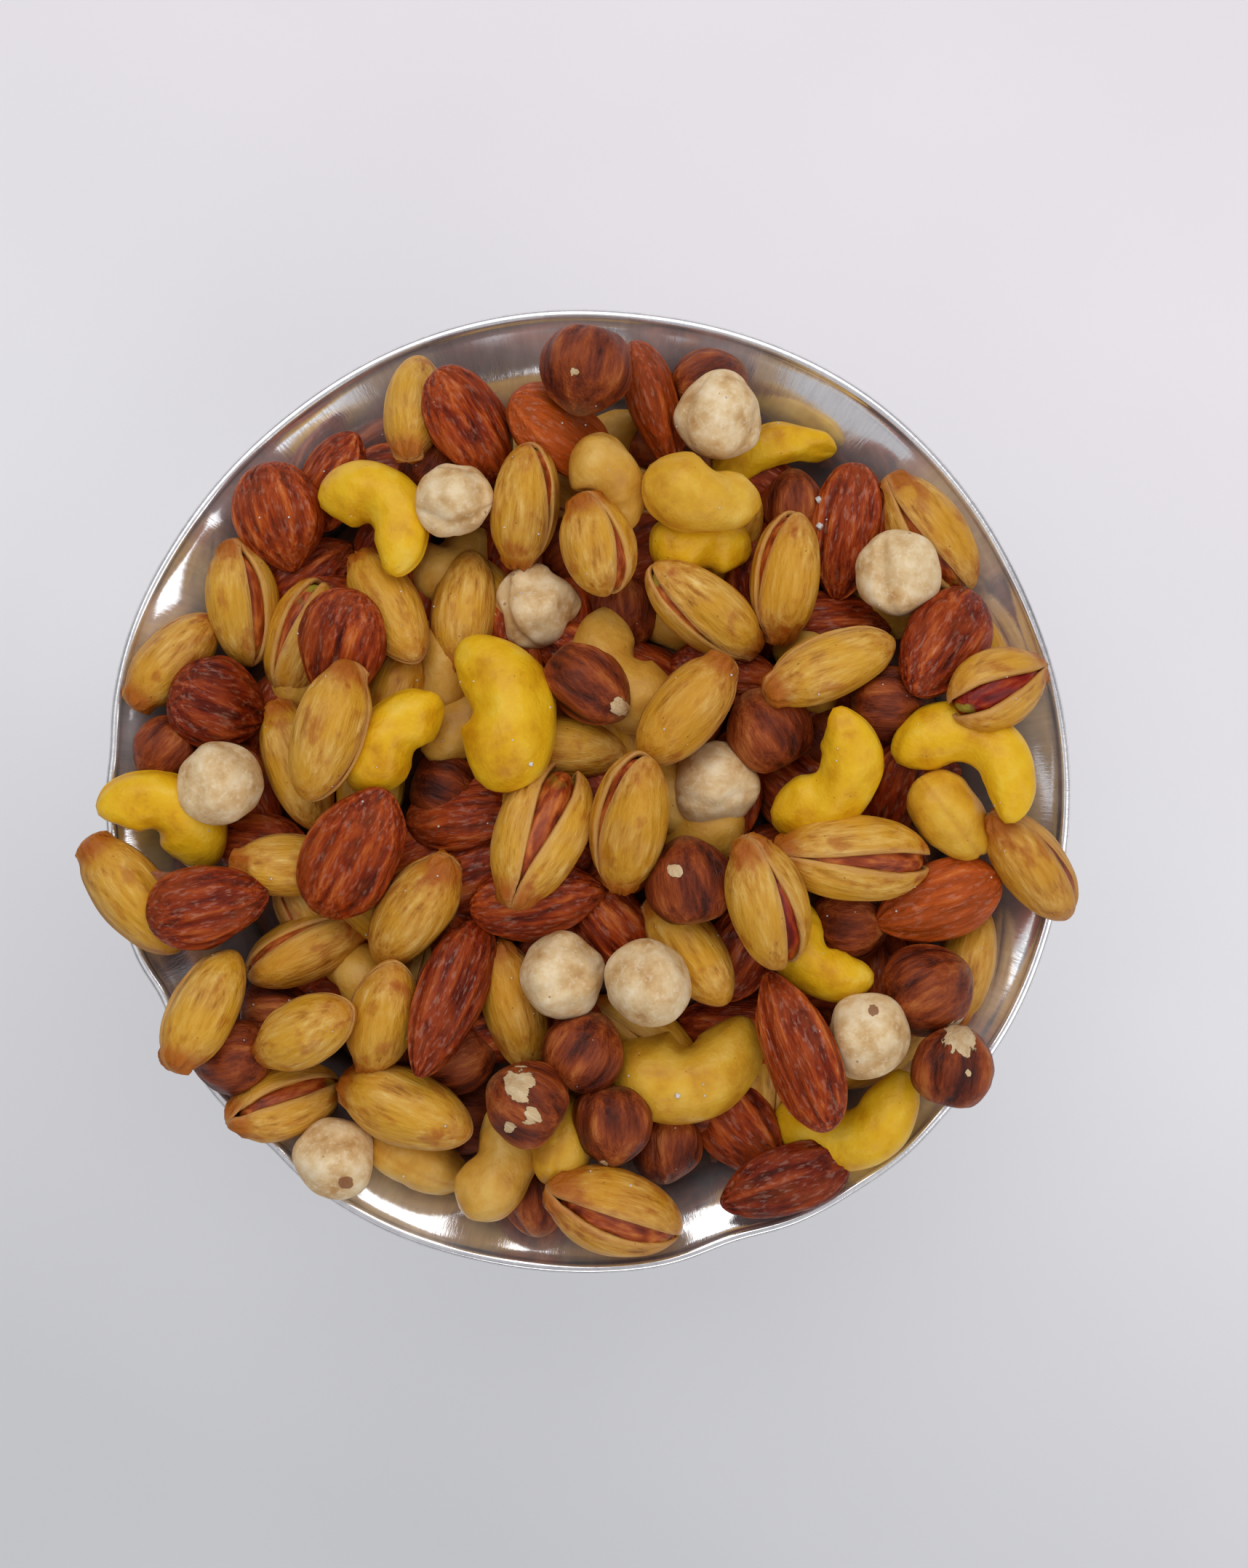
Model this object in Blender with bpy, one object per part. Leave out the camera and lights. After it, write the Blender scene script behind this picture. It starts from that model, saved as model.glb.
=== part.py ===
"""A thin steel bowl heaped with mixed nuts: pistachios in split shells, almonds and
hazelnuts in their skins, blanched hazelnuts and saffron-yellow cashews.

Metres, +Z up. The origin is the middle of the bowl's flat foot. +X is the right and
+Y the top of the bowl as it is seen from straight above.
"""
import bpy
import bmesh
import math
import numpy as np
from mathutils import Matrix, Vector
from mathutils.bvhtree import BVHTree

MM = 0.001

# Bowl, pressed from one sheet of steel and rolled outwards at its rim
RIM_RADIUS = 79.1 * MM          # middle of the rolled bead
RIM_HEIGHT = 50.0 * MM
BEAD_RADIUS = 0.95 * MM
BEAD_TURNS = (250, 310, 10, 70, 130)    # degrees round the bead at which its section has a corner
SHEET = 0.9 * MM
FOOT_RADIUS = 37.0 * MM
WALL_LEANS = (42.0, 70.0, 22.0)  # degrees from the table at the foot, the belly and the lip
LIP_START = 0.62                # share of the wall at which it begins to flare
WALL_STEPS = 8
SUMMED = 10                     # short lengths summed for each step of the wall
OUTER_OFFSET = (0.75, -0.6)     # outer face from the inner one, outwards and up, in sheets
FOOT_FLAT = 1.0 * MM            # the flat ends this far inside the foot's radius
FOOT_CORNER = (0.6 * MM, 0.3 * MM)
FLOOR_EDGE = 1.5 * MM           # the floor inside ends this far inside the foot's radius
BOWL_SEGMENTS = 54

# Waves and kinks knocked into the rim: angle, half width in degrees, depth in mm
RIM_DENTS = (
    (24, 11, -0.35), (55, 12, 0.45), (84, 10, -0.35), (128, 10, -0.25), (160, 10, 0.55),
    (175, 4, -0.5), (206, 4, -1.2), (228, 4, -0.8), (246, 9, 0.3), (288, 6, -1.3),
    (311, 5, 0.4), (332, 9, 0.3),
)

# Heap: the filling that the nuts in sight lie on
GAP = 0.8 * MM                  # between the nuts and the steel
FILL_EDGE_HEIGHT = 40.0 * MM    # where the filling meets the wall
FILL_CROWN = 19.0 * MM          # rise from the wall to the middle
FILL_SEGMENTS = 28
FILL_RINGS = (0.97, 0.7, 0.4, 0.0)  # rings of the dome as shares of its radius
FILL_FLOOR_RING = 0.6
BED = 4.0 * MM                  # how far the lowest nuts in sight lie in the filling
SINK = 1.6 * MM                 # how far one nut beds into another
PRESS = 0.4                     # share of its half depth below which a nut's edge is let through
CELL = 0.6 * MM                 # step of the height field that the nuts are laid on
FIELD_REACH = 92 * MM
FILL_REACH = 4.0 * MM           # the field's filling ends this far inside the rim
NEAR = 0.6                      # reach of a nut's own part of the field, in lengths of the nut
LEANS = (24, 3)                 # most that a nut leans along its length, and the step, in degrees
BANKS = (20, 5)                 # the same across it
LEAN_COST = 3.0 * MM            # height that a nut gives up rather than lean at a slope of one

# Sides round a nut and steps along it
FACETS = {"almond": (6, 6), "pistachio": (6, 6), "cashew": (6, 7), "hazelnut": (7, 5),
          "blanched": (7, 5)}
LOWEST_FACETS = (5, 5)
FACET_SHARE = 1.08              # width added so that flat sides keep the nut's true size
NUDGE = 0.4 * MM                # step by which a nut that touches nothing is moved
MOST_NUDGES = 10
RIM_ZONE = 60.0 * MM            # beyond this radius it is moved inwards and not down
ENOUGH_CROSSINGS = 6            # pairs of facets that cross where two nuts are well in touch

# Depth of each kind against its width
DEPTH = {"almond": 0.64, "pistachio": 0.94, "cashew": 0.92, "hazelnut": 0.97, "blanched": 0.95}

# Forms of the nuts, as shares of their half width except where it is said
ALMOND_TAPER = (0.22, 0.1)      # narrower towards the tip, and towards both ends
PISTACHIO_TAPER = 0.1
SLIT_DEPTH = 0.34               # at the tip, where the shell gapes most
SLIT_START = -0.7               # place along the nut, from -1 at the stem to 1 at the tip
SLIT_HALF = 0.9                 # share of straight up beyond which a corner belongs to the slit
CASHEW_BEND = 144.0             # degrees from end to end
CASHEW_CHORD = 0.84             # chord of the bend as a share of the length
CASHEW_BLUNT = 0.7              # power that keeps the ends of the cashew thick
CASHEW_TAPER = 0.12
HAZELNUT_BASE = 1.04
HAZELNUT_TAPER = 0.1

# Underside of a cashew that lies flat: balls along a bend
BALLS = 9
BALLS_BEND = 120.0
BALLS_CHORD = 0.78
BALLS_TAPER = 0.2
ON_EDGE = 0.6                   # sine of the turn from which a cashew counts as lying on edge
CASHEW_RISE = 0.4               # height that its bend adds then, in widths

BOWL_SMOOTH = 50                # degrees below which an edge is shaded smooth
HEAP_SMOOTH = 35

# Nuts in sight, in the order in which they lie, the lowest first.
# Kind, x, y in mm, heading of the tip in degrees, length and width in mm, turn in degrees
# about the long axis. A pistachio's slit faces up at turn 0 and left of its heading at 90.
# A cashew's hollow faces left of its heading at turn 0, right at 180 and down at 90.
LOWEST = (
    ("almond", -31.2, 52.6, 3, 18, 12, 30), ("almond", 10.8, 39.8, 20, 19, 12, 0),
    ("almond", 40.8, 26.9, 5, 20, 12, 0), ("almond", -47.3, 36.0, 30, 19, 12, 0),
    ("almond", -17.7, -14.3, 20, 19, 12, 0), ("almond", 5.1, -23.1, -50, 19, 12, 0),
    ("almond", 47.3, 10.3, -30, 19, 12, 0), ("almond", 22.7, 18.7, -10, 19, 12, 0),
    ("almond", 25.4, -25.7, 60, 19, 12, 0), ("almond", -54.0, -8.6, -5, 18, 11, 20),
    ("hazelnut", -24.8, 52.4, 60, 12, 12, 0), ("hazelnut", 19.0, 63.4, 30, 12.5, 12.5, 0),
    ("hazelnut", -69.0, 6.6, 230, 12, 12, 0), ("hazelnut", -51.9, -37.3, 0, 12.5, 12.5, 0),
    ("hazelnut", -21.5, -43.5, 20, 13, 12, 0), ("hazelnut", -58.0, -43.6, 190, 13, 12, 0),
    ("hazelnut", -8.3, -66.6, -90, 13.5, 11.5, 0), ("hazelnut", 42.7, -21.6, 0, 13, 13, 0),
    ("hazelnut", 48.6, 14.4, 0, 12.5, 12.5, 0), ("cashew", 34.6, -24.6, 45, 21, 9, 180),
    ("cashew", -27.8, -60.3, -30, 20, 9, 90), ("cashew", -3.8, -57.0, 80, 17, 9, 90),
    ("pistachio", 61.4, 22.0, -60, 18.5, 10.5, 180), ("pistachio", -48.2, -12.1, 0, 18.5, 10.5, 180),
    ("pistachio", -27.9, 62.2, 85, 18.5, 10, 180), ("pistachio", -31.7, 15.6, 70, 19, 10.5, 180),
    ("pistachio", 47.8, -42.7, 30, 19.5, 11, 180), ("pistachio", -47.5, 3.8, -70, 22, 11, 180),
)
MIDDLE = (
    ("almond", -42.0, 51.3, 60, 18, 12.5, 20), ("almond", -50.7, 44.9, -75, 18.5, 15.5, 0),
    ("almond", 10.9, 62.8, -72, 22.5, 13, 62), ("almond", -18.8, 58.6, -58, 21.5, 13.5, 10),
    ("almond", -3.8, 57.6, -32, 20.5, 12.5, 20), ("hazelnut", -0.1, 67.2, -100, 14.6, 14.6, 0),
    ("cashew", 2.5, 48.4, -60, 18.5, 9, 180), ("cashew", 30.7, 55.2, 15, 23.5, 8, 150),
    ("hazelnut", 34.1, 47.3, 90, 11.5, 10.5, 0), ("almond", 42.6, 42.6, 81, 23, 12.5, -25),
    ("pistachio", 56.2, 41.9, -56, 22.5, 12, -50), ("cashew", 18.7, 38.6, 5, 19.5, 9, 180),
    ("pistachio", -57.0, 30.5, -83, 20.5, 10.8, 62), ("pistachio", -47.1, 25.2, 70, 20.5, 10.8, 52),
    ("pistachio", -68.0, 21.7, 48, 19.5, 10.8, 75), ("pistachio", -32.1, 29.4, -60, 22, 11, 180),
    ("pistachio", -20.0, 29.3, 84, 20.5, 11.3, 180), ("cashew", 7.2, 20.6, 125, 21.5, 10.5, 180),
    ("almond", -39.3, 23.3, 72, 19.5, 15, 0), ("almond", -60.5, 14.2, -20, 16.5, 15, 0),
    ("pistachio", -3.7, 7.3, -8, 20.5, 10.8, 180), ("cashew", -30.0, 7.6, 50, 22.5, 9.5, 165),
    ("almond", -19.9, -3.8, 8, 20, 12, 0), ("cashew", -70.2, -5.7, 150, 22, 10, 0),
    ("pistachio", -73.8, -17.4, -52, 23, 12, -70), ("pistachio", -46.5, -26.2, 204, 21, 10.8, -55),
    ("almond", -8.0, -17.6, 8, 22, 12.5, 0), ("almond", 49.1, -0.1, 70, 20, 12, 30),
    ("cashew", 58.9, -4.2, -50, 20, 9.5, 90), ("pistachio", 72.4, -12.3, -50, 23, 11, 65),
    ("pistachio", 62.5, -28.2, 77, 20.5, 10, 180), ("hazelnut", 29.4, 9.8, 120, 13.8, 13.8, 0),
    ("pistachio", 16.8, -26.1, -55, 20.5, 11, 180), ("pistachio", -11.7, -35.6, -75, 22.5, 11, 180),
    ("pistachio", -28.1, -19.7, 235, 22.5, 12, 180), ("pistachio", -33.0, -36.2, 75, 20, 11.6, 180),
    ("pistachio", -44.9, -38.6, 28, 19, 11.3, 180), ("pistachio", -61.7, -35.1, 65, 21.5, 11.5, 70),
    ("blanched", -41.2, -60.2, 40, 13.2, 13.2, 0), ("pistachio", -49.5, -51.1, 18, 19.5, 11, 20),
    ("cashew", -15.8, -59.6, 70, 22.5, 9.5, 0), ("cashew", 42.9, -52.4, 8, 23.5, 10.3, 0),
    ("almond", 24.9, -55.7, -50, 20, 13.3, 0), ("hazelnut", 12.6, -58.7, -90, 12.2, 12.2, 0),
    ("almond", 32.4, -64.2, 18, 22.5, 12.8, 10),
)
TOP = (
    ("cashew", -34.7, 43.0, -45, 19.5, 8.5, 180), ("blanched", -21.2, 46.5, 0, 12, 12, 0),
    ("pistachio", 1.8, 38.0, -75, 18.5, 11.8, 60), ("pistachio", -10.0, 46.0, 83, 20.5, 11, -62),
    ("cashew", 18.7, 48.3, -15, 22.5, 10, 30), ("blanched", 21.3, 60.6, 80, 13.8, 13.8, 0),
    ("pistachio", 32.3, 34.8, 83, 21, 11.3, 62), ("pistachio", 18.6, 29.3, 143, 23, 11.5, 60),
    ("almond", 57.6, 23.8, 57, 21.8, 14, 0), ("blanched", 50.3, 35.1, 100, 13.8, 13.8, 0),
    ("blanched", -8.2, 29.8, 110, 13.6, 13.6, 0), ("hazelnut", 0.1, 17.0, -40, 15.5, 11.5, 0),
    ("pistachio", 39.3, 20.0, 23, 22.5, 11, 72), ("pistachio", 15.6, 12.4, 230, 21, 11.8, 180),
    ("cashew", -16.0, 12.6, 100, 24.8, 11.5, 0), ("pistachio", -40.9, 9.1, 252, 22.5, 12.2, 65),
    ("cashew", 37.5, 3.2, 60, 23.5, 10, 0), ("cashew", 60.7, 3.6, -30, 22.5, 10, 180),
    ("pistachio", 65.5, 16.4, 205, 18, 11, 0), ("blanched", -59.8, 1.1, 60, 13.8, 13.8, 0),
    ("almond", -61.2, -18.6, 12, 20, 13.5, 0), ("almond", -37.3, -9.9, 241, 25.3, 15.5, 0),
    ("pistachio", 7.1, -4.7, 80, 23.5, 12.3, 62), ("blanched", 20.7, 0.8, 0, 14, 14, 0),
    ("pistachio", -7.4, -6.9, 68, 24, 12.5, 0), ("hazelnut", 16.6, -14.6, 100, 14.4, 14.4, 0),
    ("almond", 57.1, -17.9, 20, 21.5, 13.5, 0), ("pistachio", 28.6, -17.9, -72, 23, 12, 30),
    ("pistachio", 42.9, -10.7, -3, 24.8, 12.5, 0), ("hazelnut", 55.2, -32.3, 30, 14.8, 14.8, 0),
    ("hazelnut", 58.9, -44.5, 80, 13.4, 13.2, 0), ("cashew", 16.3, -42.8, -2, 23.8, 11.3, 0),
    ("blanched", 45.0, -39.4, 130, 13.6, 13.6, 0), ("almond", 33.8, -41.5, -69, 27.5, 12.5, 15),
    ("blanched", -3.9, -29.6, 20, 13.8, 13.8, 0), ("blanched", 9.9, -30.6, 90, 13.8, 13.8, 0),
    ("almond", -22.0, -33.3, 248, 27.5, 12.2, 12), ("hazelnut", -0.7, -42.2, 60, 13.4, 13.4, 0),
    ("hazelnut", -9.4, -49.8, 150, 13.4, 13.4, 0), ("hazelnut", 4.1, -53.7, -90, 13.2, 13, 0),
    ("pistachio", -29.2, -51.7, -20, 23.2, 13, 180), ("pistachio", 4.8, -68.2, -22, 24.5, 12.5, -28),
)


def clear_scene():
    for thing in list(bpy.data.objects):
        bpy.data.objects.remove(thing, do_unlink=True)


def make_material(name, colour, roughness, metallic):
    material = bpy.data.materials.new(name)
    material.use_nodes = True
    shader = material.node_tree.nodes["Principled BSDF"]
    shader.inputs["Base Color"].default_value = (*colour, 1.0)
    shader.inputs["Roughness"].default_value = roughness
    shader.inputs["Metallic"].default_value = metallic
    return material


def make_object(name, mesh, material=None):
    thing = bpy.data.objects.new(name, mesh)
    bpy.context.scene.collection.objects.link(thing)
    if material is not None:
        mesh.materials.append(material)
    return thing


def rim_wave(x, y):
    """How far the rim stands out of its circle in the direction of a point, in metres."""
    angle = np.degrees(np.arctan2(y, x))
    wave = 0.0
    for middle, half_width, depth in RIM_DENTS:
        away = (angle - middle + 180.0) % 360.0 - 180.0
        wave = wave + depth * MM * np.exp(-(away / half_width) ** 2)
    return wave


def wall_lean(share):
    """Lean of the wall in degrees at a share of its length, steepest where the lip begins."""
    foot, belly, lip = WALL_LEANS
    if share < LIP_START:
        return foot + (belly - foot) * share / LIP_START
    return belly + (lip - belly) * (share - LIP_START) / (1.0 - LIP_START)


def wall_arc(steps):
    """The inner face of the wall as radius and height, from the foot to the rim."""
    across, up = [0.0], [0.0]
    for step in range(steps * SUMMED):
        lean = math.radians(wall_lean((step + 0.5) / (steps * SUMMED)))
        across.append(across[-1] + math.cos(lean))
        up.append(up[-1] + math.sin(lean))
    width = RIM_RADIUS - BEAD_RADIUS - FOOT_RADIUS
    height = RIM_HEIGHT - SHEET
    return [(FOOT_RADIUS + width * across[step] / across[-1], SHEET + height * up[step] / up[-1])
            for step in range(0, steps * SUMMED + 1, SUMMED)]


def bowl_profile():
    """Closed half section of the bowl, from the middle of the foot round to the floor inside."""
    inner = wall_arc(WALL_STEPS)
    outwards, upwards = OUTER_OFFSET
    outer = [(radius + SHEET * outwards, height + SHEET * upwards) for radius, height in inner[1:-1]]
    bead = [(RIM_RADIUS + BEAD_RADIUS * math.cos(math.radians(turn)),
             RIM_HEIGHT + BEAD_RADIUS * math.sin(math.radians(turn))) for turn in BEAD_TURNS]
    foot = [(0.0, 0.0), (FOOT_RADIUS - FOOT_FLAT, 0.0), (FOOT_RADIUS + FOOT_CORNER[0], FOOT_CORNER[1])]
    floor = [(FOOT_RADIUS - FLOOR_EDGE, SHEET), (0.0, SHEET)]
    return foot + outer + bead + inner[::-1] + floor


def spin_profile(points, segments):
    """Turn a section about the Z axis into a closed body."""
    bm = bmesh.new()
    verts = [bm.verts.new((radius, 0.0, height)) for radius, height in points]
    edges = [bm.edges.new(pair) for pair in zip(verts, verts[1:])]
    bmesh.ops.spin(bm, geom=verts + edges, axis=(0, 0, 1), cent=(0, 0, 0),
                   angle=math.tau, steps=segments, use_merge=True)
    bmesh.ops.remove_doubles(bm, verts=bm.verts, dist=1e-6)
    bmesh.ops.recalc_face_normals(bm, faces=bm.faces)
    return bm


def bend_to_rim(bm):
    """Carry the rim's waves into a turned body, fading down to the foot."""
    for vert in bm.verts:
        radius = math.hypot(vert.co.x, vert.co.y)
        if radius > FOOT_RADIUS:
            share = min(vert.co.z / RIM_HEIGHT, 1.0) ** 3
            wave = rim_wave(vert.co.x, vert.co.y) * share
            vert.co.x *= 1.0 + wave / radius
            vert.co.y *= 1.0 + wave / radius


def build_bowl():
    bm = spin_profile(bowl_profile(), BOWL_SEGMENTS)
    bend_to_rim(bm)
    mesh = bpy.data.meshes.new("bowl")
    bm.to_mesh(mesh)
    bm.free()
    mesh.shade_smooth()
    mesh.set_sharp_from_angle(angle=math.radians(BOWL_SMOOTH))
    return make_object("bowl", mesh, make_material("polished_steel", (0.66, 0.66, 0.67), 0.22, 1.0))


def fill_height(radius):
    """Top of the filling at a distance from the bowl's axis."""
    return FILL_EDGE_HEIGHT + FILL_CROWN * (1.0 - (radius / RIM_RADIUS) ** 2)


def build_filling():
    """The filling: the inside of the bowl up to a low dome."""
    wall = [point for point in wall_arc(WALL_STEPS) if point[1] < FILL_EDGE_HEIGHT]
    outer = [(radius - GAP, height + GAP) for radius, height in wall]
    edge = outer[-1][0]
    dome = [(edge * share, fill_height(edge * share)) for share in FILL_RINGS]
    points = [(0.0, outer[0][1]), (FOOT_RADIUS * FILL_FLOOR_RING, outer[0][1])] + outer + dome
    bm = spin_profile(points, FILL_SEGMENTS)
    bend_to_rim(bm)
    mesh = bpy.data.meshes.new("nut_mix")
    bm.to_mesh(mesh)
    bm.free()
    return make_object("nut_mix", mesh, make_material("mixed_nuts", (0.42, 0.2, 0.06), 0.5, 0.0))


def almond_form(along, side, up, length, width, depth):
    """Drop-shaped and flat, its tip at the front."""
    taper = 1.0 - ALMOND_TAPER[0] * along - ALMOND_TAPER[1] * along * along
    return Vector((along * length / 2, side * width / 2 * taper, up * depth / 2 * taper))


def pistachio_form(along, side, up, length, width, depth):
    """An egg whose upper seam falls in towards the tip, where the shell gapes."""
    taper = 1.0 - PISTACHIO_TAPER * along
    slit = 0.0
    if up > SLIT_HALF * math.hypot(side, up):
        slit = SLIT_DEPTH * max(0.0, along - SLIT_START) / (1.0 - SLIT_START)
    return Vector((along * length / 2, side * width / 2 * taper, up * depth / 2 * taper * (1.0 - slit)))


def cashew_form(along, side, up, length, width, depth):
    """A body bent round its hollow side, one end thicker than the other."""
    half_bend = math.radians(CASHEW_BEND / 2)
    bend_radius = length * CASHEW_CHORD / (2 * math.sin(half_bend))
    sag = bend_radius * (1 - math.cos(half_bend))
    round_section = max(math.hypot(side, up), 1e-6)
    thick = round_section ** CASHEW_BLUNT / round_section * (1.0 - CASHEW_TAPER * along)
    reach = bend_radius - side * width / 2 * thick
    turn = along * half_bend
    return Vector((reach * math.sin(turn), bend_radius - reach * math.cos(turn) - sag / 2,
                   up * depth / 2 * thick))


def hazelnut_form(along, side, up, length, width, depth):
    """Nearly a ball, drawn out a little at its tip."""
    taper = HAZELNUT_BASE - HAZELNUT_TAPER * along
    return Vector((along * length / 2, side * width / 2 * taper, up * depth / 2 * taper))


FORMS = {"almond": almond_form, "pistachio": pistachio_form, "cashew": cashew_form,
         "hazelnut": hazelnut_form, "blanched": hazelnut_form}


def seen_size(kind, width, turn):
    """Width and height of a nut as it lies, turned about its long axis."""
    depth = width * DEPTH[kind]
    tilt = math.radians(turn)
    across = math.hypot(width * math.cos(tilt), depth * math.sin(tilt))
    if kind == "cashew":
        return across, depth + width * CASHEW_RISE * abs(math.sin(tilt))
    return across, math.hypot(depth * math.cos(tilt), width * math.sin(tilt))


def middle_slope(long, short, angle):
    """Slope of the line through the middle of a tilted ellipse's upright chords."""
    cos, sin = math.cos(angle), math.sin(angle)
    return (long ** 2 - short ** 2) * sin * cos / ((long * cos) ** 2 + (short * sin) ** 2)


def underside(kind, along, across, length, width, turn):
    """Half depth of a nut over the places of the field that it covers, else below zero."""
    tilt = math.radians(turn)
    if kind == "cashew" and abs(math.sin(tilt)) < ON_EDGE:
        half_bend = math.radians(BALLS_BEND / 2)
        bend_radius = length * BALLS_CHORD / (2 * math.sin(half_bend))
        side = 1.0 if math.cos(tilt) > 0 else -1.0
        sag = bend_radius * (1 - math.cos(half_bend))
        best = np.full(along.shape, -1.0)
        for share in np.linspace(-1.0, 1.0, BALLS):
            angle = share * half_bend
            middle_x = bend_radius * math.sin(angle)
            middle_y = side * (bend_radius * (1 - math.cos(angle)) - sag / 2)
            ball = width / 2 * (1.0 - BALLS_TAPER * share * share)
            best = np.maximum(best, ball ** 2 - (along - middle_x) ** 2 - (across - middle_y) ** 2)
        return np.where(best > 0, np.sqrt(np.maximum(best, 0.0)), -1.0)
    seen, high = seen_size(kind, width, turn)
    inside = 1.0 - (along / (length / 2)) ** 2 - (across / (seen / 2)) ** 2
    return np.where(inside > 0, high / 2 * np.sqrt(np.maximum(inside, 0.0)), -1.0)


def lay_nuts(rows):
    """Lay the nuts on one another. Each takes the lean at which its middle lies lowest."""
    span = np.arange(-FIELD_REACH, FIELD_REACH, CELL)
    field_x, field_y = np.meshgrid(span, span)
    radius = np.hypot(field_x, field_y) - rim_wave(field_x, field_y)
    heap = np.where(radius < RIM_RADIUS - FILL_REACH, fill_height(radius) + SINK - BED, -1.0)
    wall_radii, wall_heights = zip(*wall_arc(WALL_STEPS * 5))
    steel = np.interp(radius + GAP, wall_radii, wall_heights)
    rim = np.sqrt(np.maximum((BEAD_RADIUS + GAP) ** 2 - (radius - RIM_RADIUS) ** 2, 0.0))
    steel = np.where(rim > 0, RIM_HEIGHT + rim, steel)
    steel = np.where(radius > RIM_RADIUS + BEAD_RADIUS + GAP, -1.0, steel)
    leans, banks = (np.radians(np.arange(-most, most + 1, step)) for most, step in (LEANS, BANKS))
    laid = []
    for kind, x, y, heading, length, width, turn in rows:
        x, y, length, width = x * MM, y * MM, length * MM, width * MM
        cos, sin = math.cos(math.radians(heading)), math.sin(math.radians(heading))
        near = np.hypot(field_x - x, field_y - y) < length * NEAR
        along = (field_x[near] - x) * cos + (field_y[near] - y) * sin
        across = (field_y[near] - y) * cos - (field_x[near] - x) * sin
        half = underside(kind, along, across, length, width, turn)
        covered = half > PRESS * half.max()
        need = np.maximum(heap[near] - SINK, steel[near])[covered] + half[covered]
        seen, high = seen_size(kind, width, turn)
        best = None
        for lean in leans:
            for bank in banks:
                slope = (middle_slope(length, high, lean) * along[covered]
                         + middle_slope(seen, high, bank) * across[covered])
                height = np.max(need - slope)
                cost = height + LEAN_COST * (lean ** 2 + bank ** 2)
                if best is None or cost < best[0]:
                    best = (cost, height, lean, bank, slope)
        cost, height, lean, bank, slope = best
        top = np.full(along.shape, -1.0)
        top[covered] = height + slope + half[covered]
        heap[near] = np.maximum(heap[near], top)
        laid.append((kind, Vector((x, y, height)), heading, lean, bank, length, width, turn))
    return laid


def nut_place(middle, heading, lean, bank, turn):
    return (Matrix.Translation(middle) @ Matrix.Rotation(math.radians(heading), 4, "Z")
            @ Matrix.Rotation(-lean, 4, "Y") @ Matrix.Rotation(bank - math.radians(turn), 4, "X"))


def nut_mesh(kind, length, width, facets):
    """A nut with few sides, lying along X."""
    bm = bmesh.new()
    sides, steps = facets
    bmesh.ops.create_uvsphere(bm, u_segments=sides, v_segments=steps, radius=1.0)
    form = FORMS[kind]
    width *= FACET_SHARE
    for vert in bm.verts:
        side, up, along = vert.co
        vert.co = form(along, side, up, length, width, width * DEPTH[kind])
    bmesh.ops.triangulate(bm, faces=bm.faces)
    mesh = bpy.data.meshes.new("nut")
    bm.to_mesh(mesh)
    bm.free()
    return mesh


def tree_of(mesh):
    corners = [vert.co for vert in mesh.vertices]
    return BVHTree.FromPolygons(corners, [face.vertices for face in mesh.polygons])


def draw_in(mesh, neighbours):
    """Move a nut that touches nothing down, or in from the rim, until it is well in touch."""
    middle = sum((vert.co for vert in mesh.vertices), Vector()) / len(mesh.vertices)
    inwards = Vector((-middle.x, -middle.y, 0.0)).normalized()
    step = (inwards if middle.xy.length > RIM_ZONE else Vector((0.0, 0.0, -1.0))) * NUDGE
    for attempt in range(MOST_NUDGES):
        touching = sum(len(tree.overlap(tree_of(mesh))) for tree in neighbours)
        if touching >= ENOUGH_CROSSINGS:
            break
        mesh.transform(Matrix.Translation(step))


def keep_outer_shell(mesh):
    """Fill the hollows that fusing closed and drop loose scraps: only the largest shell stays."""
    bm = bmesh.new()
    bm.from_mesh(mesh)
    waiting = set(bm.faces)
    shells = []
    while waiting:
        front = [waiting.pop()]
        shell = []
        while front:
            face = front.pop()
            shell.append(face)
            for edge in face.edges:
                for other in edge.link_faces:
                    if other in waiting:
                        waiting.remove(other)
                        front.append(other)
        shells.append(shell)
    shells.sort(key=len)
    dropped = [face for shell in shells[:-1] for face in shell]
    bmesh.ops.delete(bm, geom=dropped, context="FACES")
    bmesh.ops.triangulate(bm, faces=bm.faces)
    bm.to_mesh(mesh)
    bm.free()


def build_nut_mix():
    heap = build_filling()
    nuts = bpy.data.collections.new("nuts_in_sight")
    bpy.context.scene.collection.children.link(nuts)
    neighbours = [tree_of(heap.data)]
    laid = lay_nuts(LOWEST + MIDDLE + TOP)
    for number, (kind, middle, heading, lean, bank, length, width, turn) in enumerate(laid):
        facets = FACETS[kind] if number >= len(LOWEST) else LOWEST_FACETS
        mesh = nut_mesh(kind, length, width, facets)
        mesh.transform(nut_place(middle, heading, lean, bank, turn))
        draw_in(mesh, neighbours)
        neighbours.append(tree_of(mesh))
        nuts.objects.link(bpy.data.objects.new("nut", mesh))
    fuse = heap.modifiers.new("fuse", "BOOLEAN")
    fuse.operation = "UNION"
    fuse.operand_type = "COLLECTION"
    fuse.collection = nuts
    fuse.solver = "MANIFOLD"
    depsgraph = bpy.context.evaluated_depsgraph_get()
    fused = bpy.data.meshes.new_from_object(heap.evaluated_get(depsgraph))
    heap.modifiers.clear()
    heap.data = fused
    for nut in list(nuts.objects):
        bpy.data.objects.remove(nut, do_unlink=True)
    bpy.data.collections.remove(nuts)
    keep_outer_shell(fused)
    fused.shade_smooth()
    fused.set_sharp_from_angle(angle=math.radians(HEAP_SMOOTH))
    return heap


clear_scene()
build_bowl()
build_nut_mix()
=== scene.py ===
import math
import random
from collections import namedtuple

import bmesh
import bpy
import numpy as np
from mathutils import Matrix, Vector, noise
from mathutils.bvhtree import BVHTree


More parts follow.
